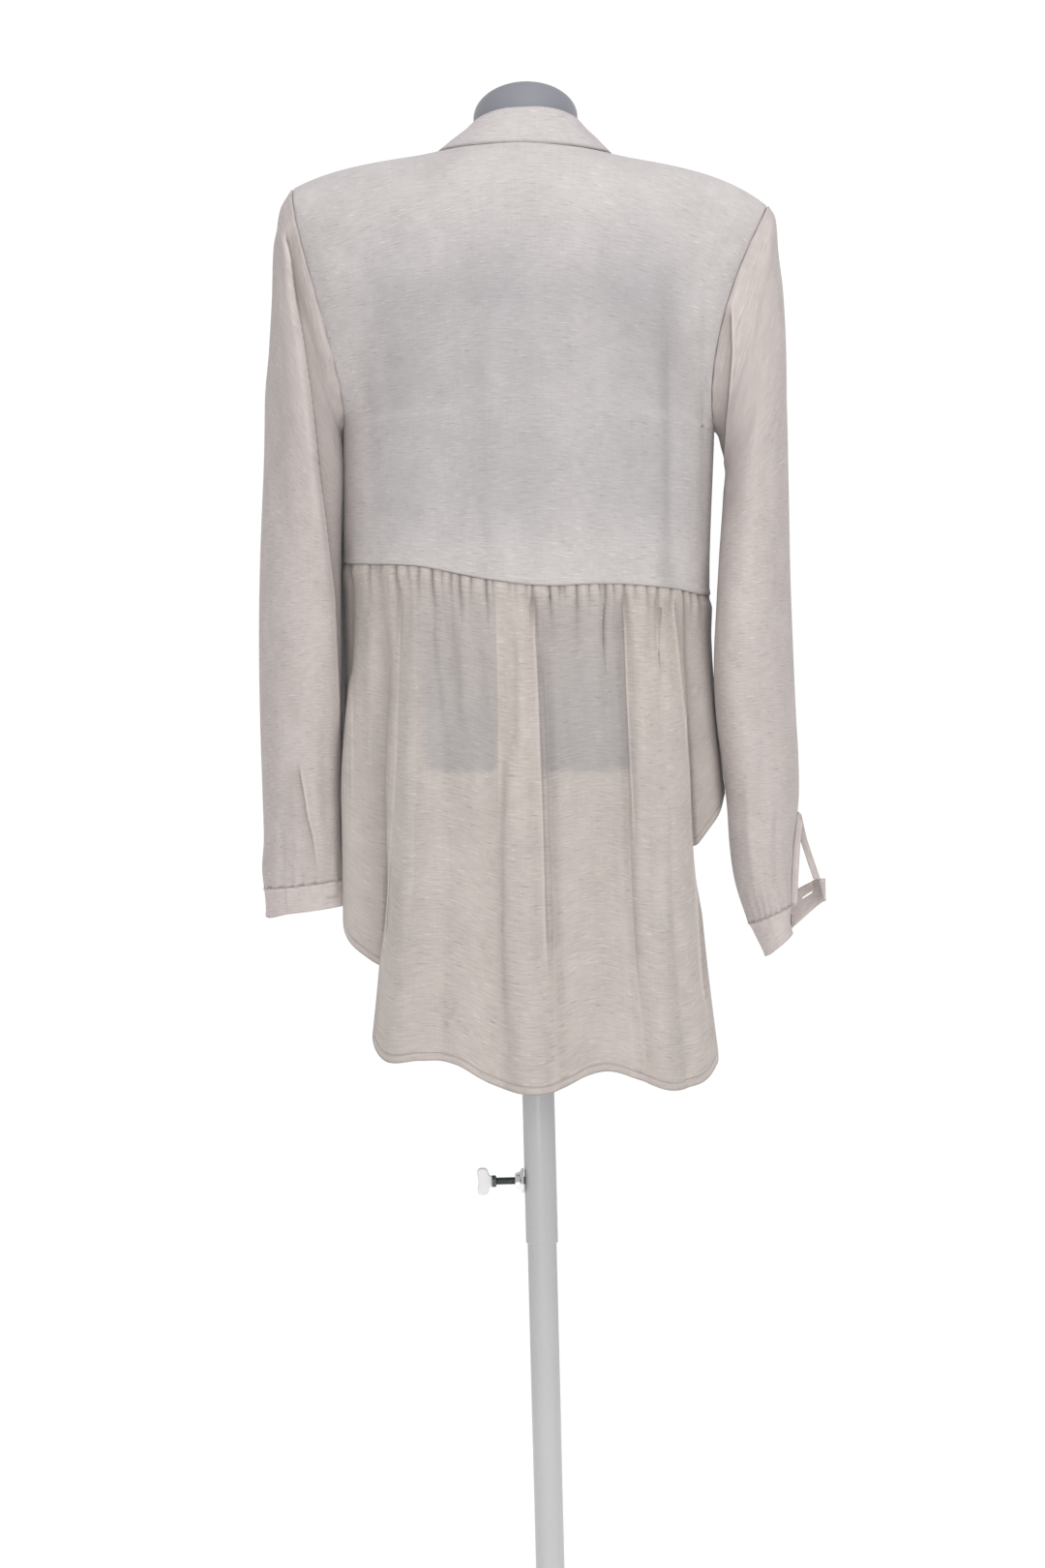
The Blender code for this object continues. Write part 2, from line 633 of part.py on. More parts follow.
def make_sleeve(side):
    columns = 26
    rows, closed = sleeve_rows(side, columns)
    if side == "left":
        press_left_fold(rows)
    cloth("sleeve_" + side, [row[::-1] for row in rows], cloth_wall, outward=False, closed_rows=closed)
    return rows


def make_cuff(side, end_row):
    """The band below a sleeve's last row, from its near end round to its far end."""
    shape = cuff_bottoms[side]
    columns = len(end_row) - 1
    top = [point + Vector((0, 0, -1.5 * seam_gap)) for point in end_row]
    near, turn_point, far = (Vector(shape[key]) for key in ("near", "turn", "far"))
    bottom = ring_between(near, far, turn_point, shape["half"], columns)
    reach = Vector((-0.0045, 0.0, 0.0)) if side == "right" else Vector((-0.0035, -0.0005, 0))
    end = -1 if side == "right" else 0
    top[end] = top[end] + reach
    middle = [a.lerp(b, 0.5) for a, b in zip(top, bottom)]
    for i, point in enumerate(middle):
        turn = 2 * math.pi * i / columns
        point.y += 0.0012 * math.copysign(abs(math.sin(turn)), math.sin(turn))
    cloth("cuff_" + side, [row[::-1] for row in (top, middle, bottom)], cuff_wall, outward=False)
    place_on = slice(0, 3) if side == "right" else slice(-3, None)
    make_button(side, middle[place_on], bottom[place_on][1] - top[place_on][1])


def make_slit_binding(side, rows, closed):
    """A strip round the slit: up its near edge, under its top and down its far edge, lying in the opening."""
    if side == "right":
        near_way, far_way = Vector((-1, -0.12, 0)).normalized(), Vector((1, 0.30, 0)).normalized()
        far_start = Vector((0, cloth_wall + binding_clear, 0))
    else:
        near_way, far_way = Vector((-0.1, -1, 0)).normalized(), Vector((-0.1, 1, 0)).normalized()
        far_start = far_way * binding_clear
    near_start = near_way * binding_clear
    apex = rows[closed - 1][0]
    down = (0.42, 0.70, 1)
    near = [apex.lerp(rows[closed][0], t) for t in down] + [row[0] for row in rows[closed + 1:]]
    far = [apex.lerp(rows[closed][-1], t) for t in down] + [row[-1] for row in rows[closed + 1:]]
    gaps = [(a - b).length for a, b in zip(near, far)]
    drops = [apex.z - a.z for a in near]
    strips = []
    for edge, way, start in ((near, near_way, near_start), (far, far_way, far_start)):
        strip = []
        for point, gap, drop in zip(edge, gaps, drops):
            width = min(binding_width, gap / 2 - binding_clear - seam_gap)
            sink = Vector((0, 0, -binding_width * 0.9 * (1 - smooth(0, 0.030, drop))))
            first = point + start + Vector((0, 0, -seam_gap))
            strip.append((first, first + way * width + sink))
        strips.append(strip)
    head = apex.lerp((near[0] + far[0]) / 2, 0.75)
    path = strips[0][::-1] + [(head, head + Vector((0, 0, -binding_width)))] + strips[1]
    cloth("slit_binding_" + side, [[pair[0] for pair in path][::-1], [pair[1] for pair in path][::-1]], cloth_wall,
          outward=False)


def make_button(side, run, down):
    """A button lying on the middle one of three points of its cuff."""
    facing = (run[2] - run[0]).cross(down).normalized()
    bm = bmesh.new()
    bmesh.ops.create_cone(bm, cap_ends=True, segments=20, radius1=button_radius, radius2=button_radius,
                          depth=button_thick)
    bmesh.ops.bevel(bm, geom=[e for e in bm.edges if e.calc_face_angle(0) > 1], offset=0.0004,
                    affect="EDGES", segments=1, profile=0.5)
    turn = facing.to_track_quat("Z", "Y").to_matrix().to_4x4()
    bmesh.ops.transform(bm, matrix=turn, verts=bm.verts)
    bmesh.ops.translate(bm, vec=run[1] + facing * (seam_gap + button_thick / 2), verts=bm.verts)
    place("cuff_button_" + side, mesh_from(bm), shell_button)


# Form and stand

def form_point(ring, turn):
    centre_y, z, wide, back, front, tilt = ring
    deep = back if math.sin(turn) > 0 else front
    shift = centre_x * smooth(1.0, 1.3, z) + (neck_oval["x"] - centre_x) * smooth(1.44, 1.50, z)
    square = blend(0.85, 1, smooth(1.47, 1.50, z))
    x = wide * math.copysign(abs(math.cos(turn)) ** square, math.cos(turn))
    y = deep * math.copysign(abs(math.sin(turn)) ** square, math.sin(turn))
    lean = math.radians(tilt)
    lift = y * math.sin(lean) + x * form_lean * smooth(1.0, 1.25, z) * smooth(1.52, 1.42, z)
    return Vector((x + shift, centre_y + y * math.cos(lean), z + lift))


def upright_cutter(name, radius, low, high):
    bm = bmesh.new()
    bmesh.ops.create_cone(bm, cap_ends=True, segments=round_sides, radius1=radius, radius2=radius, depth=high - low)
    bmesh.ops.translate(bm, vec=(0, 0, (low + high) / 2), verts=bm.verts)
    return place(name, mesh_from(bm), None)


def cut(piece, cutter):
    modifier = piece.modifiers.new("cut", "BOOLEAN")
    modifier.operation = "DIFFERENCE"
    modifier.solver = "EXACT"
    modifier.object = cutter


def make_form():
    bm = bmesh.new()
    rings = []
    for ring in form_rings:
        rings.append([bm.verts.new(form_point(ring, 2 * math.pi * i / form_columns)) for i in range(form_columns)])
    for lower, upper in zip(rings, rings[1:]):
        for i in range(form_columns):
            j = (i + 1) % form_columns
            bm.faces.new((lower[i], lower[j], upper[j], upper[i]))
    bm.faces.new(rings[0][::-1])
    bm.faces.new(rings[-1])
    form = place("form_body", mesh_from(bm, 50), grey_form)
    socket = upright_cutter("socket_cutter", tube_radius + socket_clear, form_bottom - cutter_past,
                            socket_top + seam_gap)
    cut(form, socket)


def turned(name, profile, look, on_axis=False):
    """A piece turned about the pole's axis, from its profile run top, outside, bottom."""
    mesh = bpy.data.meshes.new(name)
    bm = bmesh.new()
    points = [bm.verts.new((x, 0, z)) for x, z in profile]
    for a, b in zip(points, points[1:] + ([] if on_axis else points[:1])):
        bm.edges.new((a, b))
    bm.to_mesh(mesh)
    bm.free()
    piece = place(name, mesh, look)
    screw = piece.modifiers.new("turn", "SCREW")
    screw.steps = round_sides
    screw.render_steps = round_sides
    screw.use_merge_vertices = True
    screw.merge_threshold = 0.00005
    return piece


def make_stand():
    hole = pole_radius + seam_gap
    turned("stand_base", [(0, pole_bottom - seam_gap), (hole, pole_bottom - seam_gap), (hole, hub_top),
                          (hub_radius - 0.002, hub_top), (hub_radius, hub_top - 0.002),
                          (hub_radius, base_thick + 0.004), (hub_radius + 0.005, base_thick),
                          (base_radius - 0.003, base_thick), (base_radius, base_thick - 0.003), (base_radius, 0),
                          (0, 0)], white_paint, on_axis=True)
    inside = pole_radius - pole_wall
    turned("lower_pole", [(inside, pole_top), (pole_radius, pole_top), (pole_radius, pole_bottom),
                          (inside, pole_bottom)], white_paint)
    inside = tube_radius - tube_wall
    tube = turned("upper_tube", [(inside, socket_top), (tube_radius, socket_top), (tube_radius, tube_bottom),
                                 (inside, tube_bottom)], white_paint)
    cut(tube, along_x("rod_hole_cutter", rod_radius + rod_clear + seam_gap, hole_start, hole_end, None, 16))


def along_x(name, radius, low, high, look, sides):
    bm = bmesh.new()
    bmesh.ops.create_cone(bm, cap_ends=True, segments=sides, radius1=radius, radius2=radius, depth=high - low)
    turn = Vector((1, 0, 0)).to_track_quat("Z", "Y").to_matrix().to_4x4()
    bmesh.ops.transform(bm, matrix=turn, verts=bm.verts)
    bmesh.ops.translate(bm, vec=((low + high) / 2, 0, 0), verts=bm.verts)
    piece = place(name, mesh_from(bm), look)
    piece.location.z = clamp_z
    return piece


def make_clamp():
    nut = along_x("clamp_nut", nut_radius, tube_radius + seam_gap, nut_end, bright_steel, 6)
    cut(nut, along_x("nut_hole_cutter", rod_radius + rod_clear, hole_start, hole_end, None, 16))
    along_x("clamp_rod", rod_radius, pole_radius + seam_gap, rod_end, dark_steel, 12)
    make_knob()


def make_knob():
    """A hub with two rounded wings, one up and one down, in one outline across the screw's axis."""
    curve = bpy.data.curves.new("clamp_knob", "CURVE")
    curve.dimensions = "2D"
    curve.fill_mode = "BOTH"
    curve.extrude = 0.0026
    outline = [(0.0, -0.0042), (0.0060, -0.0050), (0.0085, -0.0098), (0.0120, -0.0112), (0.0146, -0.0098),
               (0.0138, -0.0045), (0.0128, 0.0), (0.0138, 0.0045), (0.0146, 0.0098), (0.0120, 0.0112),
               (0.0085, 0.0098), (0.0060, 0.0050), (0.0, 0.0042)]
    spline = curve.splines.new("POLY")
    spline.points.add(len(outline) - 1)
    for point, (x, y) in zip(spline.points, outline):
        point.co = (x, y, 0, 1)
    spline.use_cyclic_u = True
    holder = bpy.data.objects.new("knob_outline", curve)
    bpy.context.scene.collection.objects.link(holder)
    holder.rotation_euler.x = math.radians(90)
    holder.location = (rod_end + seam_gap, 0, 0)
    bpy.context.view_layer.update()
    mesh = bpy.data.meshes.new_from_object(holder.evaluated_get(bpy.context.evaluated_depsgraph_get()))
    bm = bmesh.new()
    bm.from_mesh(mesh)
    bmesh.ops.remove_doubles(bm, verts=bm.verts, dist=0.00001)
    bmesh.ops.transform(bm, matrix=holder.matrix_world, verts=bm.verts)
    bpy.data.objects.remove(holder)
    place("clamp_knob", mesh_from(bm), white_plastic).location.z = clamp_z


for old in list(bpy.data.objects):
    bpy.data.objects.remove(old)
part = bpy.data.collections.new("blouse_on_dress_form")
cutters = bpy.data.collections.new("cutters")
bpy.context.scene.collection.children.link(part)
bpy.context.scene.collection.children.link(cutters)

linen = ((0.56, 0.50, 0.46), 0.75)
shell_button = ((0.45, 0.40, 0.36), 0.4)
grey_form = ((0.24, 0.24, 0.27), 0.45)
white_paint = ((0.56, 0.55, 0.57), 0.35)
bright_steel = ((0.75, 0.75, 0.76), 0.2, 1.0)
dark_steel = ((0.08, 0.10, 0.10), 0.4, 0.8)
white_plastic = ((0.80, 0.78, 0.80), 0.4)

corners = waist_corners()
back_rows = make_back_bodice(corners)
make_back_skirt(corners)
front_rows = make_front()
make_neck_band(front_rows, back_rows)
for side in ("left", "right"):
    sleeve = make_sleeve(side)
    make_cuff(side, sleeve[-1])
    make_slit_binding(side, sleeve, len(sleeve) - 3)
make_form()
make_stand()
make_clamp()
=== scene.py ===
# Looks of a blouse on its dress form and stand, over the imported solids.
# Metres, +Z up. The wearer's left is +X, the wearer's back is +Y, and the pole stands on the Z axis.
from math import atan2, cos, pi, radians, sin, tau

import bmesh
import bpy
import numpy as np
from mathutils import Matrix, Vector


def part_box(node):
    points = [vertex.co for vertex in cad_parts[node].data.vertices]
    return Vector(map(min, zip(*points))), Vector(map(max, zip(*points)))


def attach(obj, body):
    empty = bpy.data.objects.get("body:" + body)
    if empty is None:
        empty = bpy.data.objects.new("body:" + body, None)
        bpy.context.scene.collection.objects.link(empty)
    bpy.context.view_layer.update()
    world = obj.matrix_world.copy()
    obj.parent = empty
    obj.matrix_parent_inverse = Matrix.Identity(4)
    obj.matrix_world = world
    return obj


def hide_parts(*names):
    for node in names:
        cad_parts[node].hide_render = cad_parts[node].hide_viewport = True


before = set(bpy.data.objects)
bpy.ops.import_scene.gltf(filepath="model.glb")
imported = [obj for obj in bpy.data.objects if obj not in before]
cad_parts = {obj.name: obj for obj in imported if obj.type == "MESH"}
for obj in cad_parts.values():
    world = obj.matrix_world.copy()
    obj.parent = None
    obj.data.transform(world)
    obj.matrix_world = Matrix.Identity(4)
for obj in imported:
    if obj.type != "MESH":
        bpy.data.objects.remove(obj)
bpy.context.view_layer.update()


# small tools for tables, rows and places

def smooth(low, high, value):
    t = np.clip((np.asarray(value, float) - low) / (high - low), 0, 1)
    return t * t * (3 - 2 * t)


def mixed(a, b, t):
    return a + (b - a) * t


def thousandths(*rows):
    # a table written in millimetres, or in thousandths of a width
    return [np.array(row) / 1000 for row in rows]


def hill(distance, width):
    return np.exp(-((distance / width) ** 2))


def through(keys, rows, wanted):
    # a smooth run through rows at the wanted keys; rows is an array, or a function of the rows' numbers
    rowAt = rows if callable(rows) else rows.__getitem__
    wanted = np.clip(np.asarray(wanted, float), keys[0], keys[-1])
    last = len(keys) - 1
    i = np.clip(np.searchsorted(keys, wanted, side="right") - 1, 0, last - 1)
    start, end = rowAt(i), rowAt(i + 1)

    def spread(values):
        return np.reshape(values, np.shape(values) + (1,) * (start.ndim - np.ndim(values)))

    def slope(j):
        low, high = np.maximum(j - 1, 0), np.minimum(j + 1, last)
        return (rowAt(high) - rowAt(low)) / spread(keys[high] - keys[low])

    step = spread(keys[i + 1] - keys[i])
    t = spread(wanted - keys[i]) / step
    return ((2 * t**3 - 3 * t**2 + 1) * start + (t**3 - 2 * t**2 + t) * step * slope(i)
            + (3 * t**2 - 2 * t**3) * end + (t**3 - t**2) * step * slope(i + 1))


def along(table, key, column):
    rows = sorted(table, key=lambda row: row[0])
    return through(np.array([row[0] for row in rows]), np.array([float(row[column]) for row in rows]), key)


def place(x, y, z):
    return np.stack(np.broadcast_arrays(x, y, z), -1).astype(float)


def unit(v):
    return v / np.maximum(np.linalg.norm(v, axis=-1, keepdims=True), 1e-9)


def outwardOf(points):
    return unit(np.cross(np.gradient(points, axis=1), np.gradient(points, axis=0)))


def runOf(points, axis):
    # distance walked along rows (axis 1) or down columns (axis 0)
    steps = np.linalg.norm(np.diff(points, axis=axis), axis=-1)
    return np.concatenate([np.zeros_like(steps.take([0], axis)), np.cumsum(steps, axis)], axis)


def lifted(points, height):
    # cloth moved out along its own normal
    return points + outwardOf(points) * height[..., None]


def pressed(points, folds, only=1.0):
    # folds in the cloth: each is a line of (x, z) places, then a half width and a rise
    x, z = points[..., 0], points[..., 2]
    height = np.zeros_like(x)
    for *line, width, rise in folds:
        line = np.reshape(line, (-1, 2))
        total = np.linalg.norm(np.diff(line, axis=0), axis=1).sum()
        walked, near, where = 0.0, np.full_like(x, 9.0), np.zeros_like(x)
        for a, b in zip(line, line[1:]):
            run = b - a
            length = np.linalg.norm(run)
            t = np.clip(((x - a[0]) * run[0] + (z - a[1]) * run[1]) / length**2, 0, 1)
            gap = np.hypot(x - a[0] - t * run[0], z - a[1] - t * run[1])
            where = np.where(gap < near, (walked + t * length) / total, where)
            near = np.minimum(gap, near)
            walked += length
        fade = smooth(-0.05, 0.22, where) * smooth(1.05, 0.72, where)
        height += rise * hill(near, width) * fade
    return lifted(points, height * only)


def lapLine(lap):
    # the heights and the x places of a lap's line, lowest first
    return np.reshape(lap[:-3], (-1, 2))[::-1, ::-1].T


def lapped(points, laps, only=1.0):
    # cloth lapping over its neighbour: each lap is a line of (x, z) places, then rise, width and shadow
    x, z = points[..., 0], points[..., 2]
    height, nearest, dark = np.zeros_like(x), np.full_like(x, 0.5), np.zeros_like(x)
    for lap in laps:
        rise, width, shadow = lap[-3:]
        heights, places = lapLine(lap)
        low, high = heights[0], heights[-1]
        off = (x - np.interp(z, heights, places)) * np.sign(width)
        fade = smooth(low - 0.004, low + 0.05, z) * smooth(high + 0.004, high - 0.012, z) * only
        height += rise * smooth(-0.0009, 0.0009, off) * hill(np.maximum(off, 0), width) * fade
        closer = (abs(off) < abs(nearest)) & (fade > 0)
        nearest = np.where(closer, off, nearest)
        dark = np.where(closer, shadow * fade * smooth(0.020, 0.010, abs(off)), dark)
    return lifted(points, height), {"lapAt": 1 + nearest, "lapDark": dark}


def linked(name, data):
    thing = bpy.data.objects.new(name, data)
    bpy.context.scene.collection.objects.link(thing)
    return thing


def gridOf(points):
    rows, columns = points.shape[:2]
    bm = bmesh.new()
    bmesh.ops.create_grid(bm, x_segments=columns - 1, y_segments=rows - 1, size=0.5)
    for vert, spot in zip(bm.verts, points.reshape(-1, 3)):
        vert.co = spot
    return bm


def clothPiece(name, points, wall, wallSide, joinedRows=0, marks={}, slot=None):
    # a fine grid laid on the cloth's own surface, with a weave map in metres and its marks, then walled
    rows, columns = points.shape[:2]
    bm = gridOf(points)
    across = np.broadcast_to(runOf(points, 1).mean(0), (rows, columns)).reshape(-1)
    down = np.broadcast_to(runOf(points, 0).mean(1)[:, None], (rows, columns)).reshape(-1)
    bm.verts.index_update()
    weave = bm.loops.layers.uv.new("weave")
    for face in bm.faces:
        for loop in face.loops:
            i = loop.vert.index
            loop[weave].uv = (across[i], down[i])
    for mark, values in marks.items():
        layer = bm.verts.layers.float.new(mark)
        for vert, value in zip(bm.verts, np.broadcast_to(values, (rows, columns)).reshape(-1)):
            vert[layer] = value
    if joinedRows:
        bm.verts.ensure_lookup_table()
        ends = [bm.verts[r * columns + c] for r in range(joinedRows) for c in (0, columns - 1)]
        bmesh.ops.remove_doubles(bm, verts=ends, dist=1e-6)
    if slot:
        row, first, last = slot
        inSlot = range(row * columns + first, row * columns + last)
        gone = [face for face in bm.faces if min(vert.index for vert in face.verts) in inSlot]
        bmesh.ops.delete(bm, geom=gone, context="FACES")
    piece = fromBmesh(name, bm)
    shell = piece.modifiers.new("wall", "SOLIDIFY")
    shell.thickness = wall
    shell.offset = wallSide
    shell.use_even_offset = False
    return piece


def fromBmesh(name, bm, angle=None):
    mesh = bpy.data.meshes.new(name)
    bm.to_mesh(mesh)
    bm.free()
    mesh.shade_smooth()
    if angle:
        mesh.set_sharp_from_angle(angle=radians(angle))
    return linked(name, mesh)


def wear(piece, finish, body, slot, *nodes):
    piece.data.materials.clear()
    piece.data.materials.append(finish)
    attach(piece, body)
    if nodes:
        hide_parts(*nodes)
    return piece


# shader maths as plain expressions

def operator(operation, swapped=False):
    def worked(self, other=0.0):
        a, b = (other, self) if swapped else (self, other)
        node = self.finish.make("ShaderNodeMath", {"operation": operation}, {0: a, 1: b})
        return self.finish.out(node)
    return worked


class Wire:
    def __init__(self, finish, socket):
        self.finish, self.socket = finish, socket

    def gate(self, low, high):
        values = {0: self, 1: low, 2: high, 3: 0.0, 4: 1.0}
        return self.finish.out(self.finish.make("ShaderNodeMapRange", {"clamp": True}, values))

    __add__ = __radd__ = operator("ADD")
    __mul__ = __rmul__ = operator("MULTIPLY")
    __sub__, __rsub__ = operator("SUBTRACT"), operator("SUBTRACT", swapped=True)
    __lt__, __mod__ = operator("LESS_THAN"), operator("FLOORED_MODULO")
    __abs__, wave, power = operator("ABSOLUTE"), operator("SINE"), operator("EXPONENT")


class Finish:
    def __init__(self, name, **fixed):
        self.material = bpy.data.materials.new(name)
        self.material.use_nodes = True
        self.tree = self.material.node_tree
        self.shader = self.tree.nodes["Principled BSDF"]
        self.give(self.shader, fixed)

    def give(self, node, values):
        for key, value in values.items():
            key = key.replace("_", " ") if isinstance(key, str) else key
            if isinstance(value, Wire):
                self.tree.links.new(value.socket, node.inputs[key])
            elif isinstance(value, tuple) and len(value) == 3 and len(node.inputs[key].default_value) == 4:
                node.inputs[key].default_value = (*value, 1)
            else:
                node.inputs[key].default_value = value

    def make(self, kind, settings={}, values={}):
        node = self.tree.nodes.new(kind)
        for key, value in settings.items():
            setattr(node, key, value)
        self.give(node, values)
        return node

    def out(self, node, socket=0):
        return Wire(self, node.outputs[socket])

    def ownPlace(self):
        return self.out(self.make("ShaderNodeTexCoord"), "Object")

    def parts(self, spot):
        node = self.make("ShaderNodeSeparateXYZ", {}, {0: spot})
        return [self.out(node, i) for i in range(3)]

    def clouds(self, spot, scale=1.0, detail=2.0):
        values = {"Vector": spot, "Scale": scale, "Detail": detail}
        return self.out(self.make("ShaderNodeTexNoise", {}, values))

    def noise(self, x, y, z=0.0, detail=2.0):
        spot = self.out(self.make("ShaderNodeCombineXYZ", {}, {0: x, 1: y, 2: z}))
        return self.clouds(spot, detail=detail)

    def mark(self, name):
        return self.out(self.make("ShaderNodeAttribute", {"attribute_name": name}), "Fac")

    def blend(self, first, second, share):
        node = self.make("ShaderNodeMix", {"data_type": "RGBA"}, {0: share, 6: first, 7: second})
        return self.out(node, 2)

    def bump(self, height, strength, distance):
        node = self.make("ShaderNodeBump", {}, {"Strength": strength, "Distance": distance, "Height": height})
        self.give(self.shader, {"Normal": self.out(node)})


linenLook = dict(slubWide=0.013, slubTall=0.0011, thread=0.0009, stitchWide=0.00035, stitchStep=0.0032)


def linenFinish(name, light, dark, shadow):
    # slubby semi-sheer linen: streaks along both threads, fine weave, stitch rows, what lies close behind,
    # and painted shade and highlights from the pieces' marks
    f = Finish(name, Roughness=0.84, Sheen_Weight=0.22, Sheen_Roughness=0.45, Specular_IOR_Level=0.22)
    look = linenLook
    u, v, _ = f.parts(f.out(f.make("ShaderNodeUVMap", {"uv_map": "weave"})))
    lying = f.noise(u * (1 / look["slubWide"]), v * (1 / look["slubTall"]))
    standing = f.noise(u * (1 / look["slubTall"]), v * (0.6 / look["slubWide"]), 3.7)
    broad = f.noise(u * 26.0, v * 17.0, 8.1, 3.0)
    weave = (u * (tau / look["thread"])).wave() * (v * (tau / look["thread"])).wave()
    slub = lying * 0.80 + standing * 0.20
    crumple = f.noise(u * 42.0 + broad * 1.6, v * 58.0 - broad * 1.2, 12.3, 3.0)
    pale = f.noise(u * 85.0, v * 560.0, 21.0, 1.0).gate(0.62, 0.76)
    deep = f.noise(u * 95.0, v * 600.0, 33.0, 1.0).gate(0.63, 0.77)
    share = (slub - 0.5) * 1.15 + (broad - 0.5) * 0.45 + (crumple - 0.5) * 0.35 + 0.5
    colour = f.blend(dark, light, share + pale * 0.50 - deep * 0.50)
    # what lies close behind shows as a grey-blue tint; in the skirt this mark also carries painted shade,
    # left off where highlights are painted
    behind = f.mark("behind")
    colour = f.blend(colour, (0.225, 0.232, 0.255), behind * (1.12 - slub * 0.24))
    colour = f.blend(colour, shadow, f.mark("shade"))
    # painted shadow on the lower side of each lap's edge, and a painted highlight along its raised rim
    off, lap = f.mark("lapAt") - 1.0, f.mark("lapDark")
    under = off.gate(0.0003, -0.0003) * ((off * 110.0).power() * 0.75 + off.gate(-0.0022, -0.0002) * 0.55)
    colour = f.blend(colour, shadow, lap * under)
    colour = f.blend(colour, light, lap * off.gate(0.0034, 0.0008) * off.gate(0.0002, 0.0006) * 1.5)
    stitch = abs(f.mark("stitchAt") - 1.0) < look["stitchWide"]
    stitch = stitch * ((u * (1 / look["stitchStep"])) % 1.0 < 0.62)
    colour = f.blend(colour, light, stitch * 0.7)
    f.give(f.shader, {"Base Color": colour})
    f.bump(slub * 0.8 + pale * 0.9 + weave * 0.10 + crumple * 3.2 + stitch * 0.8, 0.45, 0.0010)
    return f.material


def smoothFinish(name, colour, other, roughness, metallic=0.0, grain=220.0, bump=0.08, **fixed):
    # paint, plastic, metal and the form's cover: faint cloudy colour and a fine grain
    f = Finish(name, Metallic=metallic, **fixed)
    spot = f.ownPlace()
    cloud, fine = f.clouds(spot, 9.0, 4.0), f.clouds(spot, grain)
    f.give(f.shader, {"Base Color": f.blend(colour, other, cloud * 0.7 + fine * 0.3),
                      "Roughness": fine * 0.14 + (roughness - 0.07)})
    f.bump(fine, bump, 0.0004)
    return f.material


def coverFinish(name):
    # the form's grey jersey cover, with its fine ribs
    f = Finish(name, Roughness=0.62, Sheen_Weight=0.3, Sheen_Roughness=0.4)
    x, y, z = f.parts(f.ownPlace())
    rib = (x * 3600.0).wave() * 0.5 + (z * 3000.0).wave() * 0.5
    cloud = f.noise(x * 14.0, y * 14.0, z * 9.0, 4.0)
    f.give(f.shader, {"Base Color": f.blend((0.180, 0.184, 0.212), (0.235, 0.238, 0.270), cloud)})
    f.bump(rib * 0.3 + cloud, 0.2, 0.0006)
    return f.material


# one linen, toned separately for each piece to match how each looks under the light: painted light
backLinen = linenFinish("backLinen", (0.645, 0.605, 0.600), (0.412, 0.382, 0.378), (0.14, 0.115, 0.10))
skirtLinen = linenFinish("skirtLinen", (0.640, 0.576, 0.540), (0.385, 0.340, 0.313), (0.12, 0.092, 0.078))
sleeveLinen = linenFinish("sleeveLinen", (0.640, 0.578, 0.560), (0.408, 0.360, 0.341), (0.13, 0.100, 0.085))
cuffLinen = linenFinish("cuffLinen", (0.690, 0.620, 0.600), (0.455, 0.400, 0.380), (0.15, 0.12, 0.10))
print("linen ready")


# the blouse's seams, shared by its pieces

blouse = dict(wall=0.0012, gap=0.0003, centreX=-0.006, neckSeamZ=1.507, neckSeamY=0.076, neckSideY=0.002,
              veeY=-0.106, veeZ=1.362, neckShare=0.381, neckDip=0.0075, waistCentreZ=1.1245, hollow=14)
armholes = {
    "left": dict(tip=(0.190, 1.472), under=(0.154, 1.264), half=0.054, bow=0.002, swing=0.0085),
    "right": dict(tip=(-0.2160, 1.4470), under=(-0.1665, 1.255), half=0.054, bow=0.017, swing=0.003),
}
# z, x and y up each side seam
sideSeams = {
    "left": thousandths((925, 160, -8), (1000, 159, -6), (1147, 157, -4), (1264, 154, 0)),
    "right": thousandths((938, -169, -8), (1010, -163, -6), (1110, -159, -4), (1255, -166.5, 0)),
}
waistSeam = thousandths(  # x and z
    (157, 1147), (92, 1143.5), (41, 1132.5), (-14, 1124.5), (-73, 1124.5), (-129, 1118), (-159, 1110))
bodiceSwells = thousandths(  # x, highest z, rise and half width
    (-127, 1400, -3.5, 10), (-108, 1380, 3, 14), (23, 1380, 3, 17), (-4, 1360, -2.5, 12))


def armholePlace(side, angle):
    # 0 at the shoulder tip, 180 at the underarm, by way of the back
    hole = armholes[side]
    (tipX, tipZ), (underX, underZ) = hole["tip"], hole["under"]
    c, s = np.cos(np.radians(angle)), np.sin(np.radians(angle))
    x = (tipX + underX) / 2 + (tipX - underX) / 2 * c
    x = x + np.sign(tipX) * (hole["swing"] * c * abs(s) - hole["bow"] * s**2)
    y = blouse["neckSideY"] / 2 * (1 + c) + hole["half"] * s
    return place(x, y, (tipZ + underZ) / 2 + (tipZ - underZ) / 2 * c)


def seamPlace(side, z):
    return place(along(sideSeams[side], z, 1), along(sideSeams[side], z, 2), z)


def swelling(swells, x, z):
    return sum(rise * smooth(high, high - 0.08, z) * hill(x - at, width)
               for at, high, rise, width in swells)


def stitchRow(up, height, reach=0.03):
    # how far each place lies from a row of stitches, plus one; nothing past the reach
    return np.where(up < reach, 1 + up - height, 0)


def acrossShares(count):
    t = np.linspace(-1, 1, count)
    s = t * (1.4 - 0.4 * t**2)  # closer together at the armholes
    for side in (-1, 1):
        s[np.argmin(abs(s - side * blouse["neckShare"]))] = side * blouse["neckShare"]
    return s


def shoulderDrop(share):
    return 0.62 * share**1.05 + 0.38 * share**6


def backTop(share, edgeZ):
    reach = np.minimum(share / blouse["neckShare"], 1)
    y = blouse["neckSideY"] + (blouse["neckSeamY"] - blouse["neckSideY"]) * np.sqrt(1 - reach**2)
    return y, mixed(blouse["neckSeamZ"], edgeZ, shoulderDrop(share)) - blouse["neckDip"] * (1 - reach)


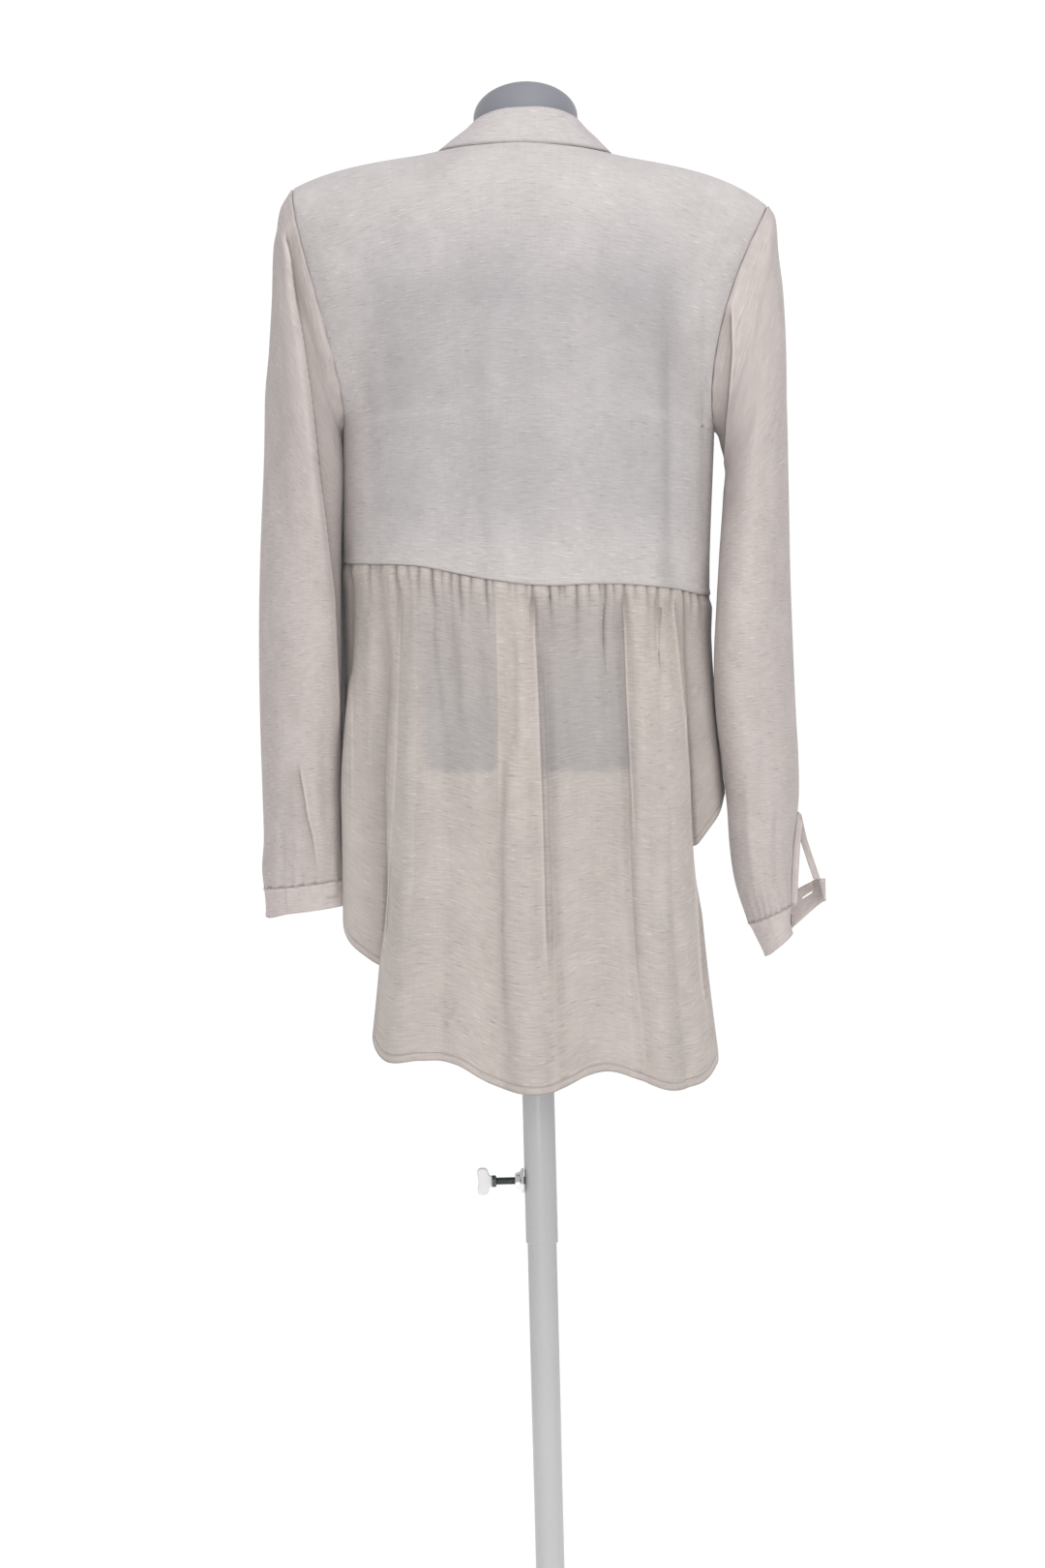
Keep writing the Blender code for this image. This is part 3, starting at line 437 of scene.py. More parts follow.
def frontTop(share, edgeZ):
    reach = np.minimum(share / blouse["neckShare"], 1)
    sideZ = mixed(blouse["neckSeamZ"], edgeZ, shoulderDrop(blouse["neckShare"]))
    y = blouse["neckSideY"] + (blouse["veeY"] - blouse["neckSideY"]) * (1 - reach) ** 0.85
    z = blouse["veeZ"] + (sideZ - blouse["veeZ"]) * (1 - (1 - reach) ** 1.6)
    return y, np.where(reach < 1, z, mixed(blouse["neckSeamZ"], edgeZ, shoulderDrop(share)))


def bodiceRow(across, left, right, centreY, centreZ, top, topLine, swells, turn=None, curve=1.5,
              bulge=(0, 0)):
    share = abs(across)
    onLeft = across < 0
    edge = [np.where(onLeft, left[i], right[i]) for i in range(3)]
    roundEdge, hollow = 0.45, 0.0
    if turn is not None:
        roundEdge += 0.35 * sin(radians(turn)) * float(smooth(180, 155, turn))
        hollow = blouse["hollow"] * cos(radians(turn)) ** 2 if turn > 90 else 0.0
    x = mixed(blouse["centreX"], edge[0], share)
    y = mixed(edge[1] * share**hollow, centreY, (1 - share**2) ** roundEdge)
    z = mixed(centreZ, edge[2], share**curve)
    x = x + np.where(onLeft, bulge[0], bulge[1]) * np.sin(pi * np.maximum((share - 0.55) / 0.45, 0) ** 1.3)
    if top:
        topY, topZ = topLine(share, edge[2])
        y, z = mixed(y, mixed(topY, edge[1], share**9), top), mixed(z, topZ, top)
    return place(x, y + np.sign(centreY) * swelling(swells, x, z), z)


# back bodice

backBodiceCut = dict(
    columns=161, lowRows=36, highRows=62, flat=(0.43, 0.41), area=0.16,
    lip=0.0009, lipAt=0.0035, dip=0.0006, seamShade=0.40, stitch=0.0022,
    # where the form shows faintly through: each edge from none to full
    sheer=dict(top=(1.47, 1.37), bottom=(1.15, 1.20), left=(0.150, 0.095), right=(-0.158, -0.125)),
    depths=thousandths(  # z, and how far back the middle lies
        (1110, 102), (1250, 107), (1360, 108), (1420, 103), (1460, 95), (1490, 84), (1507, 76)),
    folds=thousandths(  # (x, z) places down each fold, then its half width and rise
        (-129.8, 1385, -126.5, 1250, -123.5, 1122, 5, -1.6), (-118, 1370, -115, 1240, -112, 1130, 7.5, 1.4),
        (-160, 1384, -157.5, 1260, -154.8, 1131, 4.5, -2.2), (23, 1400, 24, 1270, 24.4, 1150, 10, 1.6),
        (44, 1215, 37.3, 1183.5, 25.5, 1131.1, 4, -1.4), (10, 1360, 6, 1250, 4, 1160, 7, -1.3),
        (130, 1400, 118, 1350, 108, 1300, 9, -1.2), (136, 1330, 130, 1240, 132, 1160, 8, -1.2),
        (90, 1300, 84, 1220, 88, 1150, 11, 1.2), (-45, 1360, -48, 1270, -43, 1180, 9, -1.1),
        (-75, 1340, -72, 1230, -76, 1140, 11, 1), (-185, 1420, -170, 1395, -145, 1375, 7, -1.2),
        (172, 1440, 160, 1420, 135, 1405, 7, -1)))
waistShares = np.linspace(0, 1, 1201)


def makeBackBodice():
    cut = backBodiceCut
    across = acrossShares(cut["columns"])
    waistMean = (waistSeam[0][1] + waistSeam[-1][1]) / 2
    tipMean = (armholes["left"]["tip"][1] + armholes["right"]["tip"][1]) / 2

    def row(left, right, turn):
        rise = ((left[2] + right[2]) / 2 - waistMean) / (tipMean - waistMean)
        centreZ = mixed(blouse["waistCentreZ"], blouse["neckSeamZ"], rise)
        top = max(cos(radians(turn)), 0) ** 6 if turn is not None else 0
        return bodiceRow(across, left, right, along(cut["depths"], centreZ, 1), centreZ, top, backTop,
                         bodiceSwells, turn)

    def lowRow(level):
        left = seamPlace("left", mixed(waistSeam[0][1], armholes["left"]["under"][1], level))
        right = seamPlace("right", mixed(waistSeam[-1][1], armholes["right"]["under"][1], level))
        return row(left, right, None)

    line = waistPlaces(waistShares)
    wanted = mixed(blouse["centreX"], np.where(across < 0, waistSeam[0][0], waistSeam[-1][0]), abs(across))
    waist = np.stack([np.interp(-wanted, -line[:, 0], line[:, i]) for i in range(3)], -1)
    waist[:, 2] += blouse["gap"] / 2
    rows = []
    for level in 0.985 * np.linspace(0, 1, cut["lowRows"]) ** 1.7:
        rows.append(lowRow(level) if level >= 0.25 else mixed(waist, lowRow(0.25), level / 0.25))
    for turn in 176 * (1 - np.linspace(0, 1, cut["highRows"])) ** 1.3:
        rows.append(row(armholePlace("left", turn), armholePlace("right", turn), turn))
    points = np.array(rows)
    near = hill(abs(across) - blouse["neckShare"], 0.10) * smooth(0, 9, np.arange(len(rows))[::-1, None])
    for _ in range(40):
        middle = (points[:, 2:] + points[:, :-2]) / 2
        points[:, 1:-1] = mixed(points[:, 1:-1], middle, 0.6 * near[:, 1:-1, None])
    x, z = points[..., 0], points[..., 2]
    up = runOf(points, 0)
    points = pressed(points, cut["folds"])
    # the seam allowance lies under the first millimetres above the waist seam
    lip = cut["lip"] * hill(up - cut["lipAt"], 0.0022) - cut["dip"] * hill(up, 0.0012)
    points = lifted(points, lip)
    sheer = cut["sheer"]
    body = smooth(*sheer["top"], z) * smooth(*sheer["bottom"], z)
    body *= smooth(*sheer["left"], x) * smooth(*sheer["right"], x)
    strength = 0.26 * (0.80 + 0.20 * np.sin(x * 55 + 1.0)) + 0.10 * smooth(0.03, 0.0, abs(z - 1.375))
    marks = dict(
        behind=body * strength,
        shade=cut["seamShade"] * hill(up, 0.0009),
        stitchAt=stitchRow(up, cut["stitch"]))
    piece = clothPiece("backBodice", points, blouse["wall"], 1, marks=marks)
    wear(piece, backLinen, "form", "linen", "back_bodice")
    return piece, (across, rows[-1], row(armholePlace("left", 14), armholePlace("right", 14), 14))


# back skirt

skirtCut = dict(
    columns=262, rows=138, levels=(1.124, 0.94, 0.72), hemWide=0.0062, flat=(0.62, 0.43), area=0.2,
    gatherWide=2.0, flare=24, lean=40,  # millimetres, and millimetres for each metre fallen
    gatherDeep=0.00150, gatherRun=0.00115, shadeRun=0.00050,  # metres for each unit of depth or length
    spring=0.0024, hemRoll=0.0007, gatherShade=0.50, seamShade=0.22, hemShade=0.34, edgeShade=0.42,
    knots=thousandths(  # share of the width, then x and y at the waist, half way down and at the hem
        (0, 157, -4, 160, -8, 160, -8), (40, 152.5, 17, 156.5, 16, 157.5, 16),
        (100, 145, 42, 161, 48, 166.5, 50), (180, 123, 64, 115, 65, 130, 64),
        (235, 110, 75, 122.5, 86, 143, 88), (310, 88, 88, 96, 105, 110, 112),
        (410, 45, 101.5, 50, 113, 57, 122), (500, -8, 106, -9, 118, -10, 126),
        (590, -62, 98, -64, 112, -70, 121), (690, -108, 79, -112, 101, -122, 110),
        (765, -128, 63, -138, 80, -154, 84), (830, -137, 55, -132, 64, -137, 60),
        (915, -150, 36, -159, 41, -161, 40), (1000, -159, -4, -166, -8, -169, -8)),
    hem=thousandths(  # share of the width, z
        (0, 925), (40, 893), (100, 829), (140, 806), (180, 790), (235, 741), (275, 722.5), (330, 723.5),
        (390, 719.5), (450, 698), (500, 694), (545, 708), (575, 711), (620, 702), (665, 693), (715, 696),
        (750, 710), (765, 721), (800, 800), (830, 878), (870, 900), (915, 919), (1000, 938)),
    swells=thousandths(  # share, rise at the waist, half way and at the hem, half width
        (300, 3, 4, 5, 26), (360, -2, -4, -6, 22), (475, 6, 7, 6, 18), (508, -5, -6, -6, 12),
        (447, 0, -3, -6, 14), (598, -4, -2, -1, 10), (628, -5, -5, -5, 12), (662, 4, 5, 4, 18),
        (700, -3, -2, -4, 12)),
    gathers=[  # place across the seam in millimetres, depth and length
        (150, 1.6, 18), (133.2, 1.8, 22), (127.3, 1.2, 12), (123.1, 1.5, 15), (110.5, 2.6, 60),
        (100.4, 1.4, 14), (90.8, 1.8, 28), (79.5, 2.2, 46), (70.7, 1.3, 13), (63.2, 1.7, 22), (56.1, 2.1, 52),
        (46.1, 1.6, 20), (33.5, 2.2, 42), (27.7, 1.4, 16), (14.3, 1.2, 12), (9.2, 1.3, 14), (0, 1.5, 18),
        (-5.5, 2.4, 60), (-20.1, 2, 40), (-28.5, 1.6, 18), (-32.7, 1.4, 14), (-43.2, 2.2, 50),
        (-53.7, 1.7, 20), (-62.5, 1.6, 18), (-68, 2.5, 66), (-74.7, 1.5, 16), (-84, 2.4, 70),
        (-93.2, 1.5, 16), (-103.3, 1.8, 26), (-112.5, 2.1, 48), (-124.2, 1.6, 20), (-135.3, 2.3, 44),
        (-141.6, 1.6, 24), (-148.4, 1.7, 22)],
    folds=thousandths(
        (12.5, 1110, 14.5, 1020, 16, 960, 7, 3.3),
        (-5, 1105, -8, 1040, -10, 960, -11, 860, -10.9, 760, 3.8, -4.5),
        (-24, 1100, -30, 1020, -32, 930, 6, 2.1), (-68.7, 1112, -67.2, 1070, -66.9, 1030, 3.2, -3.3),
        (-99, 1100, -101, 1000, -104, 880, -106, 780, 9, 3),
        (-112.4, 1112, -111.2, 1070, -110.5, 1030, 3.2, -3), (-91.5, 990, -91.8, 870, -91.6, 760, 6.5, -3.9),
        (-115, 980, -112, 880, -110.5, 780, 5, -2.7), (-60, 960, -62, 860, -60, 760, 10, 2.7),
        (15.6, 1000, 20.6, 875, 21.8, 740, 5, -3.9), (34, 970, 40, 860, 44, 750, 9, 2.4),
        (77, 1105, 72, 1050, 68, 1000, 4.5, -3), (56, 1110, 54, 1050, 52, 990, 4.5, -3.3),
        (34, 1110, 33, 1050, 30, 990, 5, -3), (93, 1110, 96, 1020, 101, 900, 108, 790, 8, 3.6),
        (77, 960, 80, 860, 83, 760, 10, -2.4), (75.4, 750.7, 70, 760, 63.5, 770.6, 3, -2.1),
        (133, 1120, 134, 1040, 138, 940, 6, -2.4), (-44, 800, -30, 770, -15, 750, 6, 1.5)),
    laps=thousandths(  # line, rise, width (below zero when it rises towards -x) and shadow
        (152.1, 1141.1, 153.6, 1047, 156, 912.5, 2.5, -12, 120),
        (107.8, 1141.6, 113.4, 1045.9, 117.8, 967.9, 125.7, 878.1, 132.9, 785.9, 3.4, -16, 130),
        (-7.9, 1116.8, -9, 1026, -10.2, 908.3, -10.6, 790.6, 3.4, 16, 300),
        (-81.7, 1117.4, -82.3, 1040.9, -83.7, 965.2, -86, 889.5, 2.8, -14, 300),
        (-109.5, 1116.7, -109.7, 1090.6, -109.7, 1057, 1.8, -8, 160),
        (-127.5, 1113.7, -133.1, 1039.6, -138.2, 980.6, -140.9, 888.1, -143.9, 778.8, -148, 745, 3, 16, 280),
        (26.3, 1124.4, 26.6, 1043.7, 27.7, 968.1, 29.1, 909.3, 1.4, -12, 100),
        (73, 754.9, 67.9, 762.3, 61.9, 774, 1.2, 8, 180)),
    # where the form lies close behind: x from, x to, lowest z, strength; and the laps beside each lit band
    patches=thousandths((20, 92, 967, 430), (114, 148, 974, 120), (-92, 4, 966, 460)),
    patchEdge=0.016, patchRound=0.013, lit=[((6, 2), 0.9), ((3, 5), 0.98)], tucks=(0.19, 0.822))
skirtKnots = np.array(skirtCut["knots"])


def knotPlaces(index, z):
    spots = skirtKnots[index]
    waist, half, hem = spots[..., 1:3], spots[..., 3:5], spots[..., 5:7]
    high, mid, low = skirtCut["levels"]
    upper = mixed(waist, half, smooth(high, mid, z)[..., None])
    lower = mixed(half, hem, (np.maximum((mid - z) / (mid - low), 0) ** 1.6)[..., None])
    spot = np.where((z > mid)[..., None], upper, lower)
    for end, side in ((0, "left"), (len(skirtKnots) - 1, "right")):
        spot = np.where((index == end)[..., None], seamPlace(side, z)[..., :2], spot)
    return spot


def sectionPlace(share, z):
    xy = through(skirtKnots[:, 0], lambda index: knotPlaces(index, z), share)
    return place(xy[..., 0], xy[..., 1], z)


def waistPlaces(share):
    x = along(skirtKnots, share, 1)
    z = along(waistSeam, x, 1)
    return place(x, along(skirtKnots, share, 2) + swelling(bodiceSwells, x, z), z)


def makeBackSkirt():
    cut = skirtCut
    t = np.linspace(0, 1, cut["rows"])
    fall = (t - 0.8 / tau * np.sin(tau * t))[:, None]  # rows close up at seam and hem
    line = waistPlaces(waistShares)
    pulls = np.interp([-gather[0] / 1000 for gather in cut["gathers"]], -line[:, 0], waistShares)
    even, beside = np.linspace(0, 1, cut["columns"]), 0.0032  # more columns beside each gather
    across = np.sort(np.concatenate([even, pulls - beside, pulls, pulls + beside]))
    across = across[np.append(np.diff(across) > 0.0011, True)]
    share = across[None, :] * np.ones((cut["rows"], 1))
    top = waistPlaces(share)
    topZ = top[..., 2] - blouse["gap"]
    z = mixed(topZ, along(cut["hem"], share, 1), fall)
    drop = topZ - z
    points = mixed(top, sectionPlace(share, z), smooth(0, 0.06, drop)[..., None])
    points[..., 2] = z
    run = unit(sectionPlace(share + 0.004, z) - sectionPlace(share - 0.004, z))
    out = place(run[..., 1], -run[..., 0], np.zeros_like(z))
    high, mid, low = cut["levels"]
    rise = np.zeros_like(z)
    for at, top3, half3, low3, width in cut["swells"]:
        height = along([(low, low3), (mid, half3), (high, top3)], z, 1)
        rise += height * hill(share - at, width) * smooth(0, 0.05, drop)
    gatherX = waistPlaces(share)[..., 0] * 1000
    dark = np.zeros_like(z)
    for i, (at, depth, length) in enumerate(cut["gathers"]):
        lean = sin(i * 2.4) * drop * cut["lean"]  # gathers run off a little to one side as they fall
        near = hill(gatherX - at - lean, cut["gatherWide"] + cut["flare"] * np.minimum(drop, 0.08))
        fade = np.exp(-((drop / (length * cut["gatherRun"])) ** 1.6)) * (0.55 + 0.45 * smooth(0, 0.008, drop))
        rise -= depth * cut["gatherDeep"] * near * fade
        deep = np.exp(-((drop / (length * cut["shadeRun"] + 0.004)) ** 1.5))
        dark += cut["gatherShade"] * near**1.3 * deep * min(depth / 2.0, 1)
    rise += cut["spring"] * hill(drop, 0.03) * smooth(0, 0.01, drop)  # the cloth springs out under the seam
    points += out * rise[..., None]
    points = pressed(points, cut["folds"])
    points, lapMarks = lapped(points, cut["laps"])
    up = runOf(points, 0)[-1] - runOf(points, 0)
    points = lifted(points, cut["hemRoll"] * hill(up - cut["hemWide"], 0.0011))
    hemLine = cut["hemShade"] * hill(up - cut["hemWide"] - 0.0006, 0.0009)
    hemLine += cut["edgeShade"] * hill(up, 0.0013)
    behind = np.zeros_like(z)
    x = points[..., 0]
    for low, high, floor, strength in cut["patches"]:
        inside = (high - low) / 2 - cut["patchEdge"]
        beside = np.clip((abs(x - (low + high) / 2) - inside) / cut["patchEdge"], 0, 1)
        edge = floor + cut["patchRound"] * (1 - np.sqrt(1 - beside**2))  # square below, with rounded corners
        fade = smooth(edge - 0.0015, edge + 0.0030, z) * smooth(low - 0.004, low + 0.010, x)
        fade *= smooth(high + 0.004, high - 0.010, x)
        behind = np.maximum(behind, strength * fade * (0.70 + 0.30 * smooth(1.10, 0.97, z)))
    # painted highlights: the lit bands between laps, and the ridges between gathers under the seam
    lit = np.zeros_like(z)
    for (a, b), depth in cut["lit"]:
        left, right = (np.interp(z, *lapLine(cut["laps"][i])) for i in (a, b))
        band = smooth(right - 0.0008, right + 0.0008, x) * smooth(left + 0.004, left - 0.003, x)
        lit = np.maximum(lit, band * smooth(depth, depth + 0.06, z))
    ridgeHighlight = np.clip(1 - dark * 3.2, 0, 1) * hill(drop, 0.022)
    # painted shade over the whole skirt, kept off the painted highlights
    behind = np.maximum(behind, 0.08) * (1 - np.maximum(lit, ridgeHighlight))
    dark += cut["seamShade"] * hill(drop, 0.0012)
    # painted shade down the two deep tucks at the sides
    tuck = sum(hill(share - at, 0.022) for at in cut["tucks"]) * smooth(0, 0.05, drop)
    marks = dict(behind=behind, **lapMarks, shade=np.clip(dark + 0.06 * tuck + hemLine, 0, 0.75),
                 stitchAt=stitchRow(up, cut["hemWide"]))
    order = slice(None, None, -1)  # rows from the hem up, so that the faces look outward
    piece = clothPiece("backSkirt", points[order], blouse["wall"], 1,
                       marks={key: value[order] for key, value in marks.items()})
    return wear(piece, skirtLinen, "form", "linen", "back_skirt")


# front, plain and hidden in the photograph

frontCut = dict(
    columns=141, lowRows=56, highRows=48, hemWide=0.0062, flat=(0.6, 0.66), area=0.27,
    sections=thousandths(  # z, y, fullness at the left and right
        (852, -122, 34, 12), (950, -120, 44, 20), (1060, -116, 46, 22), (1120, -115, 44, 10),
        (1180, -116, 36, 0), (1240, -117, 18, 4), (1300, -116, 4, 6), (1362, -106, 0, 0)),
    swells=thousandths(
        (112, 1300, 5, 16), (58, 1330, -3.5, 14), (20, 1250, 4.5, 17), (-46, 1300, -4, 13),
        (-82, 1320, 5, 18), (-128, 1240, -3.5, 12)),
    folds=thousandths(
        (150, 1370, 110, 1345, 80, 1300, 9, -2.2), (140, 1320, 115, 1240, 108, 1120, 112, 980, 8, 2.6),
        (60, 1300, 52, 1180, 56, 1020, 50, 880, 7, -2.6), (15, 1330, 22, 1200, 16, 1050, 22, 900, 9, 2),
        (-30, 1300, -38, 1150, -30, 990, -36, 880, 6, -2.6),
        (-75, 1320, -80, 1180, -74, 1030, -80, 900, 9, 2.4), (-165, 1380, -125, 1350, -100, 1310, 8, -2.2),
        (-120, 1280, -126, 1150, -120, 1000, 6, -2.4)))


def makeFront():
    cut = frontCut
    across = acrossShares(cut["columns"])
    under = {side: hole["under"][1] for side, hole in armholes.items()}

    def row(left, right, turn, centreZ, curve):
        bulge = (float(along(cut["sections"], centreZ, 2)), -float(along(cut["sections"], centreZ, 3)))
        top = max(cos(radians(turn)), 0) ** 4 if turn is not None else 0
        return bodiceRow(across, left, right, along(cut["sections"], centreZ, 1), centreZ, top, frontTop,
                         cut["swells"], turn, curve, bulge)

    rows = []
    for level in 0.98 * np.linspace(0, 1, cut["lowRows"]) ** 1.25:
        left = seamPlace("left", mixed(sideSeams["left"][0][0], under["left"], level))
        right = seamPlace("right", mixed(sideSeams["right"][0][0], under["right"], level))
        centreZ = mixed(cut["sections"][0][0], under["right"], level)
        rows.append(row(left, right, None, centreZ, 3.2 - 1.7 * level))

    def high(turn):
        centreZ = mixed(1.260, blouse["veeZ"], ((180 - turn) / 180) ** 0.7)
        return row(armholePlace("left", -turn), armholePlace("right", -turn), turn, centreZ, 1.5)

    for turn in 174 * (1 - np.linspace(0, 1, cut["highRows"])) ** 1.3:
        rows.append(high(turn))
    # columns turned round, so that the faces look outward
    points = pressed(np.array(rows)[:, ::-1], cut["folds"])
    points[:, 0, 1] -= blouse["gap"]
    points[:, -1, 1] -= blouse["gap"]
    up = runOf(points, 0)
    points = lifted(points, 0.0007 * hill(up - cut["hemWide"], 0.0013))
    piece = clothPiece("frontPanel", points, blouse["wall"], 1,
                       marks=dict(stitchAt=stitchRow(up, cut["hemWide"])))
    wear(piece, backLinen, "form", "linen", "front")
    return piece, (across, rows[-1], high(10))


# neck band

bandCut = dict(wall=0.0016, mitre=(0, 0.0235, 0.0307), runIn=0.177, rows=10,
               oval=dict(x=-0.0102, y=0.005, wide=0.0480, deep=0.0520, sideZ=1.5155, backZ=1.5320),
               flat=(0.50, 0.033), area=0.0145)


def neckPlace(edges, side, reach):
    across = edges[0]
    at = (-1 if side == "left" else 1) * blouse["neckShare"] * reach
    edge, below = (Vector([np.interp(at, across, line[:, i]) for i in range(3)]) for line in edges[1:])
    return edge, (edge - below).normalized()


def bandRim(point):
    oval = bandCut["oval"]
    turn = atan2(point.y - oval["y"], (point.x - oval["x"]) * oval["deep"] / oval["wide"])
    return Vector((oval["x"] + oval["wide"] * cos(turn), oval["y"] + oval["deep"] * sin(turn),
                   mixed(oval["sideZ"], oval["backZ"], max(sin(turn), -0.4))))


def makeNeckBand(frontEdges, backEdges):
    cut = bandCut
    reaches = list(np.linspace(0, 1, 34) ** 0.9)
    half = [("left", r, False) for r in reaches] + [("left", r, True) for r in reaches[-2::-1]]
    path = half + [("right", r, behind) for _, r, behind in half[-2::-1]]
    spots = [neckPlace(backEdges if behind else frontEdges, side, r) for side, r, behind in path]
    rows = []
    for i, (side, r, behind) in enumerate(path):
        point, outOf = spots[i]
        lift = bandRim(point) - point
        if not behind:
            inner = r - cut["runIn"] if r > 2 * cut["runIn"] else r**2 / (4 * cut["runIn"])
            flat = neckPlace(frontEdges, side, inner)[0] + Vector(cut["mitre"]) - point
            lift = flat.lerp(lift, float(smooth(0.68, 1, r)))
        run = spots[min(i + 1, len(path) - 1)][0] - spots[max(i - 1, 0)][0]
        bodySide = run.cross(outOf).normalized()
        bandSide = run.cross(lift).normalized()
        seat = point + bodySide * blouse["wall"]
        if i in (0, len(path) - 1):
            seat.x += (1 if i == 0 else -1) * 2 * blouse["gap"]
        start = seat + lift.normalized() * 0.0012
        free = seat + lift
        line = []
        for t in np.linspace(0, 1, cut["rows"]):
            roll = 0.0010 * sin(pi * t) + 0.0012 * float(smooth(0.75, 1, t))
            line.append(start.lerp(free, t) + bandSide * roll)
        rows.append(line)
    points = np.array([[tuple(p) for p in line] for line in rows]).transpose(1, 0, 2)[:, ::-1]
    up = runOf(points, 0)
    marks = dict(shade=0.20 * hill(up, 0.0009),
                 stitchAt=1 + np.where(up < 0.006, up, up[-1] - up) - 0.0022)
    piece = clothPiece("neckBand", points[:, ::-1], cut["wall"], -1,
                       marks={key: value[:, ::-1] for key, value in marks.items()})
    return wear(piece, backLinen, "form", "linen", "neck_band")


# sleeves

